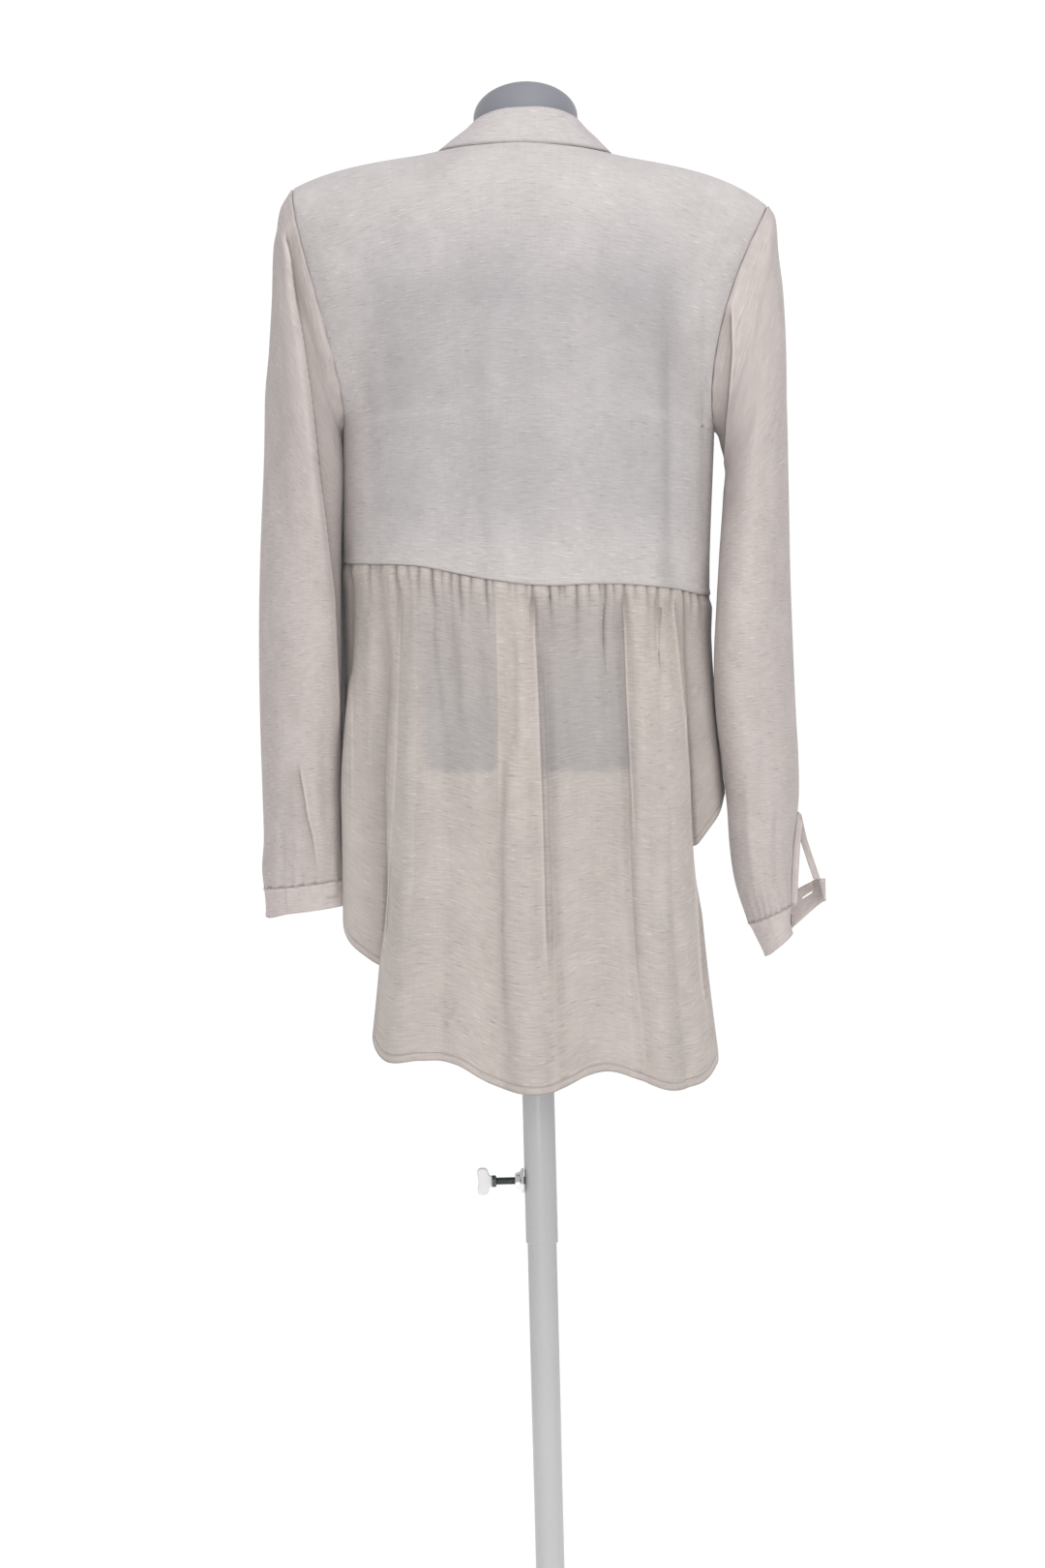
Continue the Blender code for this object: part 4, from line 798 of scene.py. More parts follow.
sleeveCuts = {
    "left": dict(
        rings=thousandths(  # inner x, z, y, outer x, z, y, half depth
            (155.2, 1257, 6, 204, 1456, 0, 56), (155, 1246, 12, 208.5, 1428, -1, 58),
            (155, 1232, 17, 213, 1385, -2, 59), (155.6, 1216, 20, 217.5, 1335, -3, 60),
            (156.8, 1197, 21, 222.5, 1262, -4, 60), (159, 1163, 20, 229, 1178, -5, 59),
            (160.5, 1115, 18, 232.5, 1115, -6, 57), (161.5, 1060, 16, 234.2, 1060, -7, 55),
            (162.5, 1000, 12, 234.8, 1000, -8, 52), (163.2, 950, 8, 234.5, 948, -8, 49),
            (164, 913, 8, 234.5, 908, -8, 45), (164, 890, 8, 236.5, 884, -8, 41),
            (163.2, 873.5, 8, 235, 865.5, -8, 36)),
        slit=thousandths(  # near edge x, y, z, then the far edge
            (163.8, 12.5, 913, 163.8, 3.5, 913), (163.4, 15, 889.5, 163.4, 0.5, 889.5),
            (162.2, 16, 873.5, 162.5, -1, 873.5)),
        press=thousandths(  # z, the fold's x, depth
            (1440, 197, 1), (1390, 196, 7), (1329, 188, 12), (1268, 182, 13), (1220, 178.5, 12),
            (1159, 172.5, 8), (1100, 169, 3), (1000, 164, 0)),
        backFolds=thousandths(
            (208, 1440, 206, 1390, 199, 1330, 193, 1265, 6, 1.6), (225, 1380, 223, 1290, 218, 1210, 6, -1.4),
            (213, 1300, 208, 1210, 200, 1130, 7, -1.4), (178, 1090, 196, 1075, 220, 1080, 6, -1.2),
            (220, 1060, 215, 990, 218, 930, 7, 1.4),
            (194.1, 975, 190.7, 929, 187.7, 914.1, 183.6, 877, 3.2, -2.2),
            (205, 960, 203, 915, 201, 875, 5, 1.8), (218, 930, 217, 900, 215, 872, 3, -1.6),
            (176, 1020, 178, 960, 176, 905, 4.5, -1.4)),
        frontFolds=thousandths(
            (208, 1420, 198, 1340, 190, 1260, 6, -2), (220, 1330, 214, 1230, 208, 1130, 8, 2.2),
            (176, 1150, 200, 1120, 225, 1130, 7, -1.8), (200, 1060, 196, 970, 198, 890, 6, -1.8),
            (218, 1000, 214, 930, 215, 880, 5, 1.6)),
        laps=thousandths(
            (198.5, 1434.7, 192, 1392.5, 186.5, 1339.4, 178.4, 1272, 170, 1167.5, 166, 1120.3, 164, 981.6,
             2.8, 14, 600),
            (199, 975, 193.5, 929, 190, 914, 184.5, 873, 2.6, -12, 400)),
        end=dict(near=(0.1605, 0.015, 0.8515), turn=(0.2343, -0.008, 0.8418), far=(0.162, -0.003, 0.851),
                 half=0.033, sag=0.0055, lap=0.2147),
        reach=(-0.0035, -0.0005, 0), reachEnd=0, hole=(0.1745, 0.8592),
        tucked=None,
        flat=(0.29, 0.6), area=0.145, cuffFlat=(0.234, 0.0265)),
    "right": dict(
        rings=thousandths(
            (-171.2, 1248, 0, -224.5, 1437, 0, 56), (-173, 1240, 0, -226.5, 1408, -1, 58),
            (-175.5, 1230, 0, -229.5, 1370, -2, 59), (-177, 1218, 2, -231.2, 1325, -3, 60),
            (-174.5, 1203, 5, -230.8, 1262, -4, 60), (-172, 1178, 10, -230.9, 1195, -4, 59),
            (-168.5, 1145, 18, -230.8, 1145, -4, 57), (-164.5, 1100, 28, -231.3, 1100, -4, 55),
            (-161, 1050, 34, -232.2, 1050, -4, 53), (-162, 1005, 34, -233.2, 1005, -3, 51),
            (-166.5, 965, 28, -234.4, 965, -2, 48), (-170, 930, 22, -233.5, 930, 0, 45),
            (-172, 892, 16, -233.5, 892, 0, 40), (-176.5, 860, 10, -235, 860, 0, 35),
            (-187.5, 825.5, 6, -237, 848, 0, 29)),
        slit=thousandths(
            (-227.5, 8, 893, -241.2, -16.5, 896), (-225, 12, 865, -248.8, -24, 872),
            (-223.6, 14, 840, -253, -28.5, 859.5)),
        press=None,
        backFolds=thousandths(
            (-215, 1430, -208, 1370, -200, 1300, -190, 1230, 7, -1.8),
            (-224, 1400, -223, 1310, -219, 1230, 6, 1.6), (-208, 1260, -206, 1170, -198, 1090, 8, -1.6),
            (-172, 1130, -188, 1110, -215, 1115, 6, -1.4), (-168, 1060, -185, 1040, -212, 1045, 6, -1.4),
            (-220, 1060, -217, 990, -220, 930, 7, 1.6), (-202, 1000, -198, 930, -200, 870, 5, -2),
            (-186, 960, -187, 900, -193, 850, 4, 1.6), (-213, 930, -211, 890, -212, 850, 3.5, -1.8)),
        frontFolds=thousandths(
            (-220, 1400, -208, 1320, -198, 1240, 6, -2), (-224, 1290, -220, 1200, -216, 1110, 8, 2.2),
            (-176, 1130, -200, 1100, -220, 1110, 7, -1.8), (-205, 1020, -201, 950, -205, 880, 6, -1.8)),
        laps=thousandths(
            (-182.2, 1358.7, -182.4, 1320, -179.1, 1280.9, -176.5, 1244.5, -174.4, 1189.9, 2.2, -12, 620),
            (-195, 862, -196.5, 856, -201, 850, 1.2, -6, 300)),
        end=dict(near=(-0.2248, 0.012, 0.816), turn=(-0.2015, 0, 0.7955), far=(-0.2575, -0.03, 0.84),
                 half=0.024, sag=0, lap=-1),
        reach=(-0.0045, 0, 0), reachEnd=-1, hole=None,
        tucked=thousandths((930, -233.6), (893, -229), (865, -227), (840, -225.5)),
        flat=(0.29, 0.6), area=0.145, cuffFlat=(0.194, 0.0265)),
}


def sleeveRing(near, far, turnPlace, half, columns):
    turn = np.linspace(0, tau, columns + 1)[:, None]
    start = np.where(turn <= pi, np.array(near)[None], np.array(far)[None])
    ring = (start + turnPlace) / 2 + (start - turnPlace) / 2 * np.cos(turn)
    ring[:, 1] += (half * np.sign(np.sin(turn)) * abs(np.sin(turn)) ** 0.9)[:, 0]
    return ring


sleeveSewing = dict(
    columns=160, rows=150, clear=0.0007,  # clear: between the armhole seam and the sleeve's head
    cuffPuckers=19, cuffEase=0.0007, cuffRun=0.020, headPuckers=23, headEase=0.0005, headRun=0.010,
    roll=0.0013, rollRun=0.0060,  # the seam allowance lies in the sleeve
    under=0.0026, aside=0.0012)  # the first row is tucked under the bodice


def makeSleeve(side):
    cut, sewn = sleeveCuts[side], sleeveSewing
    columns = sewn["columns"]
    out = 1 if side == "left" else -1
    turn = np.linspace(0, 360, columns + 1)
    angle = 180 - turn if side == "left" else turn
    head = armholePlace(side, angle)
    crown = np.maximum(-np.cos(np.radians(angle)), 0) ** 3
    head[:, 0] += out * (blouse["gap"] + sewn["clear"] + blouse["wall"] * 0.4 * crown)
    rings = [head]
    slitStart = len(cut["rings"]) - len(cut["slit"])
    for r, (innerX, innerZ, innerY, outerX, outerZ, outerY, half) in enumerate(cut["rings"]):
        inner, outer = np.array((innerX, innerY, innerZ)), np.array((outerX, outerY, outerZ))
        start, far = (inner, outer) if side == "left" else (outer, inner)
        near, away = np.reshape(cut["slit"][r - slitStart], (2, 3)) if r >= slitStart else (start, start)
        rings.append(sleeveRing(near, away, far, half, columns))
    rings = np.array(rings)
    keys = np.concatenate([[0], np.cumsum(np.linalg.norm(np.diff(rings, axis=0), axis=-1).mean(1))])
    slitKey = keys[slitStart]
    wanted = np.sort(np.append(np.linspace(0, keys[-1], sewn["rows"] - 2), [0.0012, slitKey]))
    points = through(keys, rings, wanted)
    joined = int(np.searchsorted(wanted, slitKey, side="right"))
    points[:joined, -1] = points[:joined, 0]
    if cut["press"]:
        x, y, z = (points[..., i] for i in range(3))
        edge, depth = along(cut["press"], z, 1), along(cut["press"], z, 2)
        ease = smooth(0, 0.025, wanted)[:, None] * (y > 0.004) * (z > 0.98)
        points[..., 1] -= depth * smooth(edge + 0.001, edge - 0.003, x) * ease * smooth(0.004, 0.012, y)
    if cut["tucked"]:
        # the front half stops behind the back half, and only the slit's strip runs out to the cuff's tab
        for row in points[joined:]:
            half = columns // 2
            beyond = np.nonzero(row[half:, 0] < along(cut["tucked"], row[half:, 2], 1))[0]
            if len(beyond):
                stops = half + np.linspace(0, beyond[0], columns + 1 - half)
                places = np.arange(columns + 1)
                row[half:] = np.stack([np.interp(stops, places, row[:, i]) for i in range(3)], -1)
    middle = points[..., 1].mean(1, keepdims=True)
    back = smooth(middle - 0.004, middle + 0.010, points[..., 1])
    points = pressed(points, cut["backFolds"], back)
    points = pressed(points, cut["frontFolds"], 1 - back)
    points, lapMarks = lapped(points, cut["laps"], back)
    # puckers where the cloth is eased into the armhole and the cuff
    around, down = tau * np.linspace(0, 1, columns + 1)[None, :], wanted[:, None]
    left = down[-1] - down
    pucker = sewn["cuffEase"] * np.sin(around * sewn["cuffPuckers"] + 1.9 * np.sin(around * 23 / tau))
    pucker = pucker * hill(left, sewn["cuffRun"])
    ease = sewn["headEase"] * np.sin(around * sewn["headPuckers"] + np.sin(around * 17 / tau))
    pucker = pucker + ease * hill(down, sewn["headRun"])
    pucker[:joined, -1] = pucker[:joined, 0]
    roll = sewn["roll"] * hill(down, sewn["rollRun"])
    points = lifted(points, pucker + roll)
    inward = points[0].mean(0) - points[0]
    points[0] += sewn["under"] * unit(inward) - np.array((out * sewn["aside"], 0, 0))
    points[:joined, -1] = points[:joined, 0]
    shade = 0.05 * np.maximum(hill(down, 0.0012), hill(left, 0.0014))
    piece = clothPiece(side + "Sleeve", points, blouse["wall"], -1, joinedRows=joined,
                       marks=dict(shade=shade, **lapMarks))
    wear(piece, sleeveLinen, "form", "linen", "sleeve_" + side)
    return piece, rings, slitStart + 1


cuffSewing = dict(rows=15, wall=0.0020, belly=0.0014, ripple=0.00045, seam=0.0008, edge=0.0007, stitch=0.0020,
                  slot=(5, 132, 142))  # the open buttonhole: a row of the grid, and its first and last column


def makeCuff(side, endRow):
    cut, sewn = sleeveCuts[side], cuffSewing
    columns = len(endRow) - 1
    end = cut["end"]
    slot = sewn["slot"] if side == "right" else None
    top = endRow + np.array((0, 0, -0.0001))
    bottom = sleeveRing(end["near"], end["far"], np.array(end["turn"]), end["half"], columns)
    near = -1 if cut["reachEnd"] == -1 else 0
    top[near] += cut["reach"]
    turn = np.linspace(0, tau, columns + 1)
    bottom[:, 2] -= end["sag"] * np.maximum(-np.sin(turn), 0) ** 0.3 * (0.5 - 0.5 * np.cos(turn))
    rows = []
    for t in np.linspace(0, 1, sewn["rows"]):
        row = mixed(top, bottom, t)
        row[:, 1] += sewn["belly"] * sin(pi * t) * np.sin(turn)
        rows.append(row)
    points = np.array(rows)
    down = runOf(points, 0)
    left = down[-1] - down
    ripple = sewn["ripple"] * np.sin(turn[None] * 17 + 1.3 * np.sin(turn[None] * 3)) * hill(down, 0.006)
    points = lifted(points, ripple + sewn["seam"] * hill(down, 0.0022) + sewn["edge"] * hill(left, 0.0016))
    lapShade = 0.20 * hill(points[..., 0] - end["lap"], 0.0008) * (points[..., 1] > 0)
    marks = dict(shade=0.16 * hill(down, 0.0010) * (0.5 + 0.5 * np.sin(turn[None] * 41)) + lapShade,
                 stitchAt=1 + np.minimum(down, left) - sewn["stitch"])
    piece = clothPiece(side + "Cuff", points, sewn["wall"], -1, marks=marks, slot=slot)
    wear(piece, cuffLinen, "form", "linen", "cuff_" + side)
    return piece, points


def makeBinding(side, rings, closed, wide=0.0064, clear=0.0001):
    gap = blouse["gap"]
    if side == "right":
        nearWay, farWay = Vector((-1, -0.12, 0)).normalized(), Vector((1, 0.30, 0)).normalized()
        farStart = Vector((0, blouse["wall"] + clear, 0))
    else:
        nearWay, farWay = Vector((-0.1, -1, 0)).normalized(), Vector((-0.1, 1, 0)).normalized()
        farStart = farWay * clear
    rows = [[Vector(ring[0]), Vector(ring[-1])] for ring in rings]
    apex = rows[closed - 1][0]
    steps = np.linspace(0.35, 1, 7)
    sides = []
    for i in (0, 1):
        line = [apex.lerp(rows[closed][i], t) for t in steps]
        for a, b in zip(rows[closed:], rows[closed + 1:]):
            line += [a[i].lerp(b[i], t) for t in np.linspace(0, 1, 7)[1:]]
        sides.append(line)
    strips = []
    for line, way, start in ((sides[0], nearWay, nearWay * clear), (sides[1], farWay, farStart)):
        strip = []
        for point, a, b in zip(line, *sides):
            width = min(wide, (a - b).length / 2 - clear - gap)
            sink = Vector((0, 0, -wide * 0.9 * (1 - float(smooth(0, 0.030, apex.z - a.z)))))
            first = point + start + Vector((0, 0, -gap))
            strip.append((first, first + way * width + sink))
        strips.append(strip)
    head = apex.lerp((sides[0][0] + sides[1][0]) / 2, 0.75)
    path = strips[0][::-1] + [(head, head + Vector((0, 0, -wide)))] + strips[1]
    points = np.array([[tuple(a.lerp(b, t)) for a, b in path[::-1]] for t in np.linspace(0, 1, 7)])
    bulge = 0.0004 * np.sin(np.linspace(0, pi, 7))[:, None]
    points = lifted(points, bulge)
    up = runOf(points, 0)
    marks = dict(stitchAt=1 + (up[-1] - up) - 0.0012, shade=0.3 * hill(up, 0.0007))
    piece = clothPiece(side + "Binding", points, blouse["wall"], -1, marks=marks)
    return wear(piece, cuffLinen, "form", "linen", "slit_binding_" + side)


buttonLook = dict(radius=0.0055, thick=0.0022, holes=0.0013, holeRadius=0.00055)
buttonFinish = smoothFinish("buttonShell", (0.33, 0.285, 0.25), (0.44, 0.39, 0.35), 0.30, grain=90,
                            Coat_Weight=0.3)
threadFinish = smoothFinish("sewingThread", (0.55, 0.50, 0.46), (0.66, 0.61, 0.57), 0.8, grain=900, bump=0.3)


def makeButton(side, name):
    # a dished button with a rolled rim and four stitched holes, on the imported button's own place and facing
    low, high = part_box(name)
    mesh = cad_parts[name].data
    middle = sum((v.co for v in mesh.vertices), Vector()) / len(mesh.vertices)
    centre = (low + high) / 2
    spread = np.array([tuple(v.co - middle) for v in mesh.vertices])
    facing = Vector(np.linalg.svd(spread.T @ spread)[0][:, 2])
    if facing.dot(Vector((-1, 0.3, 0))) < 0:
        facing = -facing
    bm = bmesh.new()
    r, t = buttonLook["radius"], buttonLook["thick"]
    outline = [(0, -0.5), (0.86, -0.5), (1, -0.15), (1, 0.2), (0.93, 0.5), (0.80, 0.46), (0.70, 0.16),
               (0, 0.10)]
    spun(bm, [(r * x, t * z) for x, z in outline], 48)
    for i in range(4):
        # thread worn flat over the holes
        angle = pi / 4 + i * pi / 2
        spot = Vector((cos(angle), sin(angle), 0)) * buttonLook["holes"]
        wide = buttonLook["holeRadius"]
        knot = bmesh.ops.create_uvsphere(bm, u_segments=10, v_segments=6, radius=wide)["verts"]
        bmesh.ops.translate(bm, vec=spot + Vector((0, 0, t * 0.12)), verts=knot)
    turn = facing.to_track_quat("Z", "Y").to_matrix().to_4x4()
    bmesh.ops.transform(bm, matrix=Matrix.Translation(centre) @ turn, verts=bm.verts)
    piece = fromBmesh(side + "Button", bm, 45)
    return wear(piece, buttonFinish, "form", "button", name)


def fullTurn(bm, geom, steps):
    bmesh.ops.spin(bm, geom=geom, cent=(0, 0, 0), axis=(0, 0, 1), angle=tau, steps=steps, use_merge=True)


def spun(bm, profile, steps, closed=False):
    # turns a profile of (radius, height) round Z
    verts = [bm.verts.new((x, 0, z)) for x, z in profile]
    edges = [bm.edges.new(pair) for pair in zip(verts, verts[1:] + (verts[:1] if closed else []))]
    fullTurn(bm, verts + edges, steps)
    bmesh.ops.remove_doubles(bm, verts=bm.verts, dist=1e-6)
    bmesh.ops.recalc_face_normals(bm, faces=bm.faces)


def makeButtonhole(side, cuffPoints):
    # two raised worked lips lying along the cuff
    spot = sleeveCuts[side]["hole"]
    flat = cuffPoints.reshape(-1, 3)
    near = np.argmin(np.hypot(flat[:, 0] - spot[0], flat[:, 2] - spot[1]) + (flat[:, 1] < 0) * 1.0)
    out = Vector(outwardOf(cuffPoints).reshape(-1, 3)[near])
    row, column = divmod(near, cuffPoints.shape[1])
    run = Vector(cuffPoints[row, column + 1] - cuffPoints[row, column - 1]).normalized()
    bm = bmesh.new()
    ring = bmesh.ops.create_circle(bm, segments=8, radius=0.00055)["verts"]
    bmesh.ops.rotate(bm, cent=(0, 0, 0), matrix=Matrix.Rotation(pi / 2, 3, "X"), verts=ring)
    bmesh.ops.translate(bm, vec=(0.0058, 0, 0), verts=ring)
    fullTurn(bm, bm.verts[:] + bm.edges[:], 32)
    bmesh.ops.scale(bm, vec=(1, 0.20, 1), verts=bm.verts)
    bmesh.ops.recalc_face_normals(bm, faces=bm.faces)
    axes = Matrix((run, out.cross(run), out)).transposed().to_4x4()
    seat = Vector(flat[near]) + out * 0.0003
    bmesh.ops.transform(bm, matrix=Matrix.Translation(seat) @ axes, verts=bm.verts)
    return wear(fromBmesh(side + "Buttonhole", bm), threadFinish, "form", "linen")


backBodice, backEdges = makeBackBodice()
backSkirt = makeBackSkirt()
front, frontEdges = makeFront()
neckBand = makeNeckBand(frontEdges, backEdges)
print("body of the blouse made")
for side in ("left", "right"):
    sleeve, rings, closed = makeSleeve(side)
    cuff, cuffPoints = makeCuff(side, rings[-1].copy())
    binding = makeBinding(side, rings, closed)
    button = makeButton(side, "cuff_button_" + side)
    hole = [makeButtonhole(side, cuffPoints)] if sleeveCuts[side]["hole"] else []
print("sleeves and cuffs made")


# dress form

formLook = dict(
    columns=128, rows=120, lean=0.056, crown=36, socketClear=0.0003, socketTop=0.0005,
    lid=((0.012, 0.0008), (0.035, 0.0014), (0.10, 0.0018), (0.5, 0.0022), (1, 0.0024)),
    rings=[  # in millimetres: centre y, z, half width, back depth, front depth; and its tilt
        (0, 968, 131, 74, 86, 0), (0, 974, 137, 78, 91, 0), (0, 1030, 138, 80, 90, 0),
        (0, 1090, 126, 78, 82, 0), (0, 1150, 113, 74, 76, 0), (0, 1210, 118, 78, 84, 0),
        (0, 1270, 130, 86, 96, 0), (0, 1320, 138, 92, 98, 0), (2, 1370, 148, 94, 86, 0),
        (4, 1410, 162, 86, 66, 0), (6, 1438.4, 168, 72, 46, 0), (8, 1456.8, 150, 60, 36, 0),
        (10, 1471.1, 112, 54, 34, 6), (12, 1481.2, 82, 51, 36, 14), (12, 1490.9, 60, 50, 42, 22),
        (9, 1503, 48, 48, 46, 30), (1, 1518, 45.5, 47, 47.5, 35), (-9, 1529.5, 45.2, 47, 47.5, 36)])


def makeForm():
    look = formLook
    turn = np.linspace(0, tau, look["columns"] + 1)
    rows = []
    for *sizes, tilt in look["rings"]:
        centreY, z, wide, back, frontDepth = np.array(sizes) / 1000
        deep = np.where(np.sin(turn) > 0, back, frontDepth)
        square = mixed(0.85, 1, float(smooth(1.47, 1.50, z)))
        shift = blouse["centreX"] * float(smooth(1.0, 1.3, z))
        shift += (bandCut["oval"]["x"] - blouse["centreX"]) * float(smooth(1.44, 1.50, z))
        x = wide * np.sign(np.cos(turn)) * abs(np.cos(turn)) ** square
        y = deep * np.sign(np.sin(turn)) * abs(np.sin(turn)) ** square
        lift = y * sin(radians(tilt)) + x * look["lean"] * float(smooth(1.0, 1.25, z) * smooth(1.52, 1.42, z))
        rows.append(place(x + shift, centreY + y * cos(radians(tilt)), z + lift))
    rings = np.array(rows)
    keys = np.array([ring[1] for ring in look["rings"]]) / 1000
    points = through(keys, rings, np.linspace(keys[0], keys[-1], look["rows"]))
    rim, floor = points[-1], points[0]
    crown = radians(look["crown"])
    up = np.array((0, -sin(crown), cos(crown)))
    lid = [mixed(rim, rim.mean(0), t) + up * rise for t, rise in look["lid"]]
    # the tube's socket in the flat underside
    wide = standLook["tubeRadius"] + look["socketClear"]
    mouth = place(wide * np.cos(turn), wide * np.sin(turn), floor[0, 2])
    end = place(wide * np.cos(turn), wide * np.sin(turn), standLook["tubeTop"] + look["socketTop"])
    base = [end * (0, 0, 1), end, mouth, mixed(floor, mouth, 0.5), mixed(floor, mouth, 0.02)]
    bm = gridOf(np.concatenate([base, points, lid]))
    bmesh.ops.remove_doubles(bm, verts=bm.verts, dist=1e-5)
    bmesh.ops.recalc_face_normals(bm, faces=bm.faces)
    return wear(fromBmesh("formBody", bm, 50), coverFinish("formCover"), "form", "form_cover", "form_body")


# stand

standLook = dict(tubeRadius=0.0140, tubeWall=0.0010, tubeBottom=0.548, tubeTop=1.149, steps=96,
                 poleRadius=0.0127, poleWall=0.0012, poleBottom=0.002, poleTop=0.880,
                 hubRadius=0.021, hubTop=0.045, baseRadius=0.190, baseThick=0.009, holeFloor=0.0017)
clampLook = dict(z=0.603, flange=0.0112, nutStart=0.0146, nutEnd=0.0222, rod=0.0034, pitch=0.00125,
                 rodStart=0.0131, rodEnd=0.0400, knobThick=0.0056, knobTip=0.0137,
                 knob=thousandths(  # half the knob's outline: distance out, then up
                     (0, 4.4), (3, 4.7), (4.6, 5.8), (5.5, 9.2), (6.6, 11.2), (9, 11.9), (12.5, 11.8),
                     (14.5, 10.4), (14.9, 6.2), (14.1, 2.4)))


def makeStand():
    look = standLook
    paint = smoothFinish("standPaint", (0.462, 0.458, 0.460), (0.525, 0.518, 0.524), 0.30, grain=420,
                         bump=0.05, Coat_Weight=0.25)
    r, wall, low, top = look["tubeRadius"], look["tubeWall"], look["tubeBottom"], look["tubeTop"]
    pieces = [("upperTube", "post", "upper_tube", [
        (r - wall, top), (r, top), (r, low + 0.0004), (r - 0.0004, low), (r - wall, low)])]
    r, wall, low, top = look["poleRadius"], look["poleWall"], look["poleBottom"], look["poleTop"]
    pole = [(r - wall, top), (r, top), (r, low), (r - wall, low)]
    pieces.append(("lowerPole", "stand", "lower_pole", pole))
    hole = look["poleRadius"] + 0.0003
    hub, top, wide, thick = look["hubRadius"], look["hubTop"], look["baseRadius"], look["baseThick"]
    profile = [(hole, look["holeFloor"]), (hole, top), (hub - 0.002, top), (hub - 0.0006, top - 0.0006),
               (hub, top - 0.002), (hub, thick + 0.006), (hub + 0.0015, thick + 0.0022),
               (hub + 0.006, thick), (wide - 0.004, thick), (wide - 0.0012, thick - 0.0012),
               (wide, thick - 0.004), (wide, 0.001), (wide - 0.001, 0), (0, 0), (0, look["holeFloor"])]
    pieces.append(("standBase", "stand", "stand_base", profile))
    for name, body, node, outline in pieces:
        bm = bmesh.new()
        spun(bm, outline, look["steps"], closed=True)
        wear(fromBmesh(name, bm, 40), paint, body, "stand_paint", node)


def acrossClamp(name, profile, finish, body, slot, node=None, angle=40):
    # a turned piece on the clamp screw's line: radius, and distance out from the pole's middle
    bm = bmesh.new()
    spun(bm, profile, 32, closed=True)
    seat = Matrix.Translation((0, 0, clampLook["z"])) @ Matrix.Rotation(pi / 2, 4, "Y")
    bmesh.ops.transform(bm, matrix=seat, verts=bm.verts)
    return wear(fromBmesh(name, bm, angle), finish, body, slot, *([node] if node else []))


def makeClamp():
    look = clampLook
    chrome = smoothFinish("clampChrome", (0.78, 0.78, 0.79), (0.88, 0.88, 0.88), 0.16, 1.0, 300, 0.02)
    dark = smoothFinish("screwSteel", (0.075, 0.095, 0.095), (0.14, 0.16, 0.16), 0.40, 0.7, 800, 0.15)
    white = smoothFinish("knobPlastic", (0.74, 0.72, 0.74), (0.82, 0.80, 0.82), 0.38, grain=500, bump=0.06)
    rod, pitch, end = look["rod"], look["pitch"], look["rodEnd"]
    inside, a, b, flange = rod + 0.0004, look["nutStart"], look["nutEnd"], look["flange"]
    nut = [(inside, a), (flange - 0.0006, a), (flange, a + 0.0006), (flange - 0.0008, a + 0.0020),
           (flange - 0.0034, a + 0.0034), (0.0068, b - 0.0012), (0.0060, b), (inside, b)]
    acrossClamp("clampNut", nut, chrome, "post", "clamp_nut_metal", "clamp_nut")
    core, at = 0.0005, look["rodStart"] + 0.0006
    thread = [(core, look["rodStart"]), (rod - core, look["rodStart"])]
    while at < end - 0.001:
        thread += [(rod - 0.0006, at), (rod, at + pitch * 0.4), (rod, at + pitch * 0.6)]
        at += pitch
    thread += [(rod - 0.0006, end), (core, end)]
    acrossClamp("clampRod", thread, dark, "clamp", "clamp_rod_metal", "clamp_rod", 25)
    ferrule = [(0.0036, end - 0.0012), (0.0046, end - 0.0012), (0.0052, end - 0.0004), (0.0052, end + 0.0026),
               (0.0036, end + 0.0026)]
    acrossClamp("knobFerrule", ferrule, dark, "clamp", "clamp_rod_metal")
    bm = bmesh.new()
    half, thick = look["knob"], look["knobThick"]
    outline = [(x, -z) for x, z in half] + [(look["knobTip"], 0)] + half[::-1]
    face = bm.faces.new([bm.verts.new((x + end + 0.0005, -thick / 2, z + look["z"])) for x, z in outline])
    grown = bmesh.ops.extrude_face_region(bm, geom=[face])
    moved = [v for v in grown["geom"] if isinstance(v, bmesh.types.BMVert)]
    bmesh.ops.translate(bm, vec=(0, thick, 0), verts=moved)
    bmesh.ops.recalc_face_normals(bm, faces=bm.faces)
    rims = [e for e in bm.edges if abs(e.verts[0].co.y - e.verts[1].co.y) < 1e-6]
    bmesh.ops.bevel(bm, geom=rims, offset=0.0012, affect="EDGES", segments=4, profile=0.5, material=-1)
    wear(fromBmesh("clampKnob", bm, 50), white, "clamp", "knob_plastic", "clamp_knob")


makeForm()
makeStand()
makeClamp()
print("form and stand made")


# room, light and camera

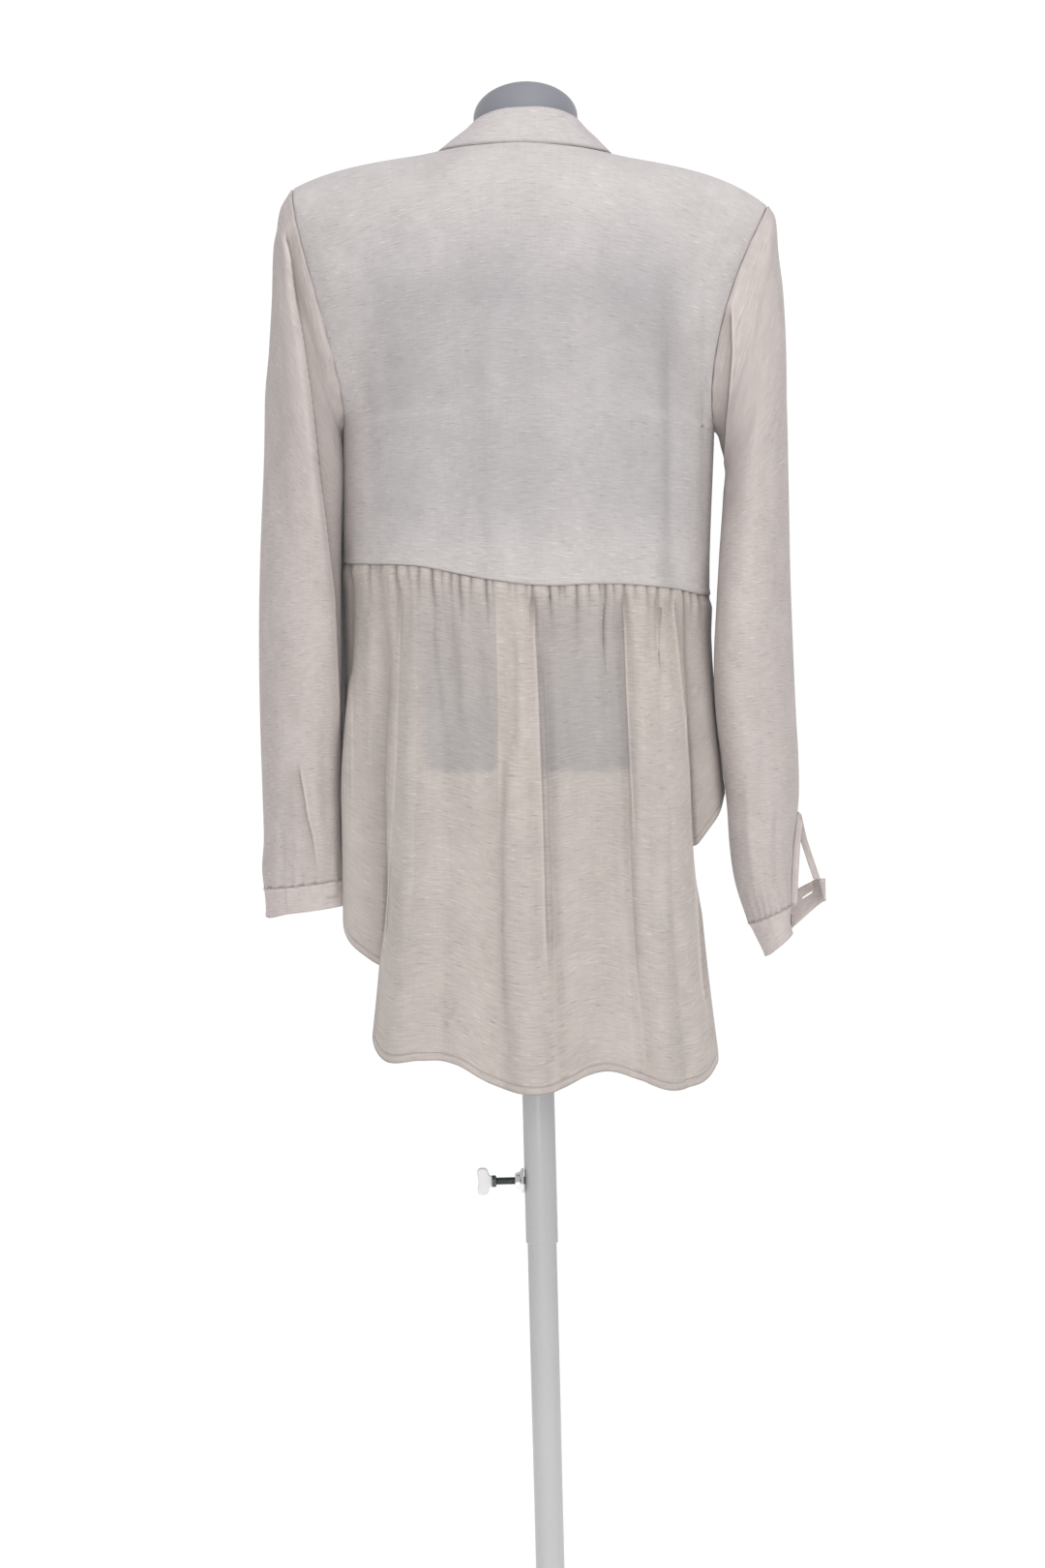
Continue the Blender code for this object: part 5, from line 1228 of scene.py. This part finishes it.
room = dict(floorSize=1.9, backdropSize=19, world=0.55, keyPower=10, topPower=23, fillPower=50)
bm = bmesh.new()
bmesh.ops.create_grid(bm, x_segments=1, y_segments=1, size=room["floorSize"])
floor = fromBmesh("floor", bm)
paleFloor = Finish("paleFloor", Roughness=0.9, Emission_Strength=0.48)
faint = paleFloor.clouds(paleFloor.ownPlace(), 3.0)
floorColour = paleFloor.blend((0.86, 0.86, 0.86), (0.90, 0.90, 0.90), faint)
paleFloor.give(paleFloor.shader, {"Base Color": floorColour, "Emission Color": (1.0, 1.0, 1.0)})
floor.data.materials.append(paleFloor.material)
bm = bmesh.new()
bmesh.ops.create_uvsphere(bm, u_segments=48, v_segments=24, radius=room["backdropSize"])
backdrop = fromBmesh("backdrop", bm)
white = Finish("whiteBackdrop", Base_Color=(0.0, 0.0, 0.0), Emission_Color=(1.0, 1.0, 1.0),
               Emission_Strength=1.0)
backdrop.data.materials.append(white.material)
backdrop.visible_diffuse = backdrop.visible_glossy = backdrop.visible_shadow = False

world = bpy.data.worlds.new("softRoom")
world.use_nodes = True
world.node_tree.nodes["Background"].inputs["Color"].default_value = (1, 1, 1, 1)
world.node_tree.nodes["Background"].inputs["Strength"].default_value = room["world"]
bpy.context.scene.world = world


def softLight(name, spot, aim, size, power):
    light = bpy.data.lights.new(name, "AREA")
    light.shape, light.size, light.energy = "DISK", size, power
    holder = linked(name, light)
    holder.location = spot
    holder.rotation_euler = (Vector(aim) - Vector(spot)).to_track_quat("-Z", "Y").to_euler()


softLight("topLight", (-0.3, 0.9, 3.1), (0, 0, 1.2), 1.6, room["topPower"])
softLight("keyLight", (-2.2, 2.6, 2.2), (0, 0, 1.1), 1.4, room["keyPower"])
softLight("fillLight", (0.3, 4.3, 1.25), (0, 0, 1.0), 2.4, room["fillPower"])

view = dict(target=(0.007, 0, 0.951), distance=4.0, pitch=2.9, tall=1.369, roll=-1.45)
camera = bpy.data.cameras.new("camera")
camera.lens = 18 / (view["tall"] / 2 / view["distance"])
holder = linked("camera", camera)
target = Vector(view["target"])
pitch, roll = radians(view["pitch"]), radians(view["roll"])
holder.location = target + Vector((0, cos(pitch), sin(pitch))) * view["distance"]
look = (target - holder.location).to_track_quat("-Z", "Y").to_matrix().to_4x4()
holder.matrix_world = Matrix.Translation(holder.location) @ look @ Matrix.Rotation(roll, 4, "Z")
bpy.context.scene.camera = holder
bpy.context.scene.view_settings.view_transform = "Standard"
print("room and camera set")
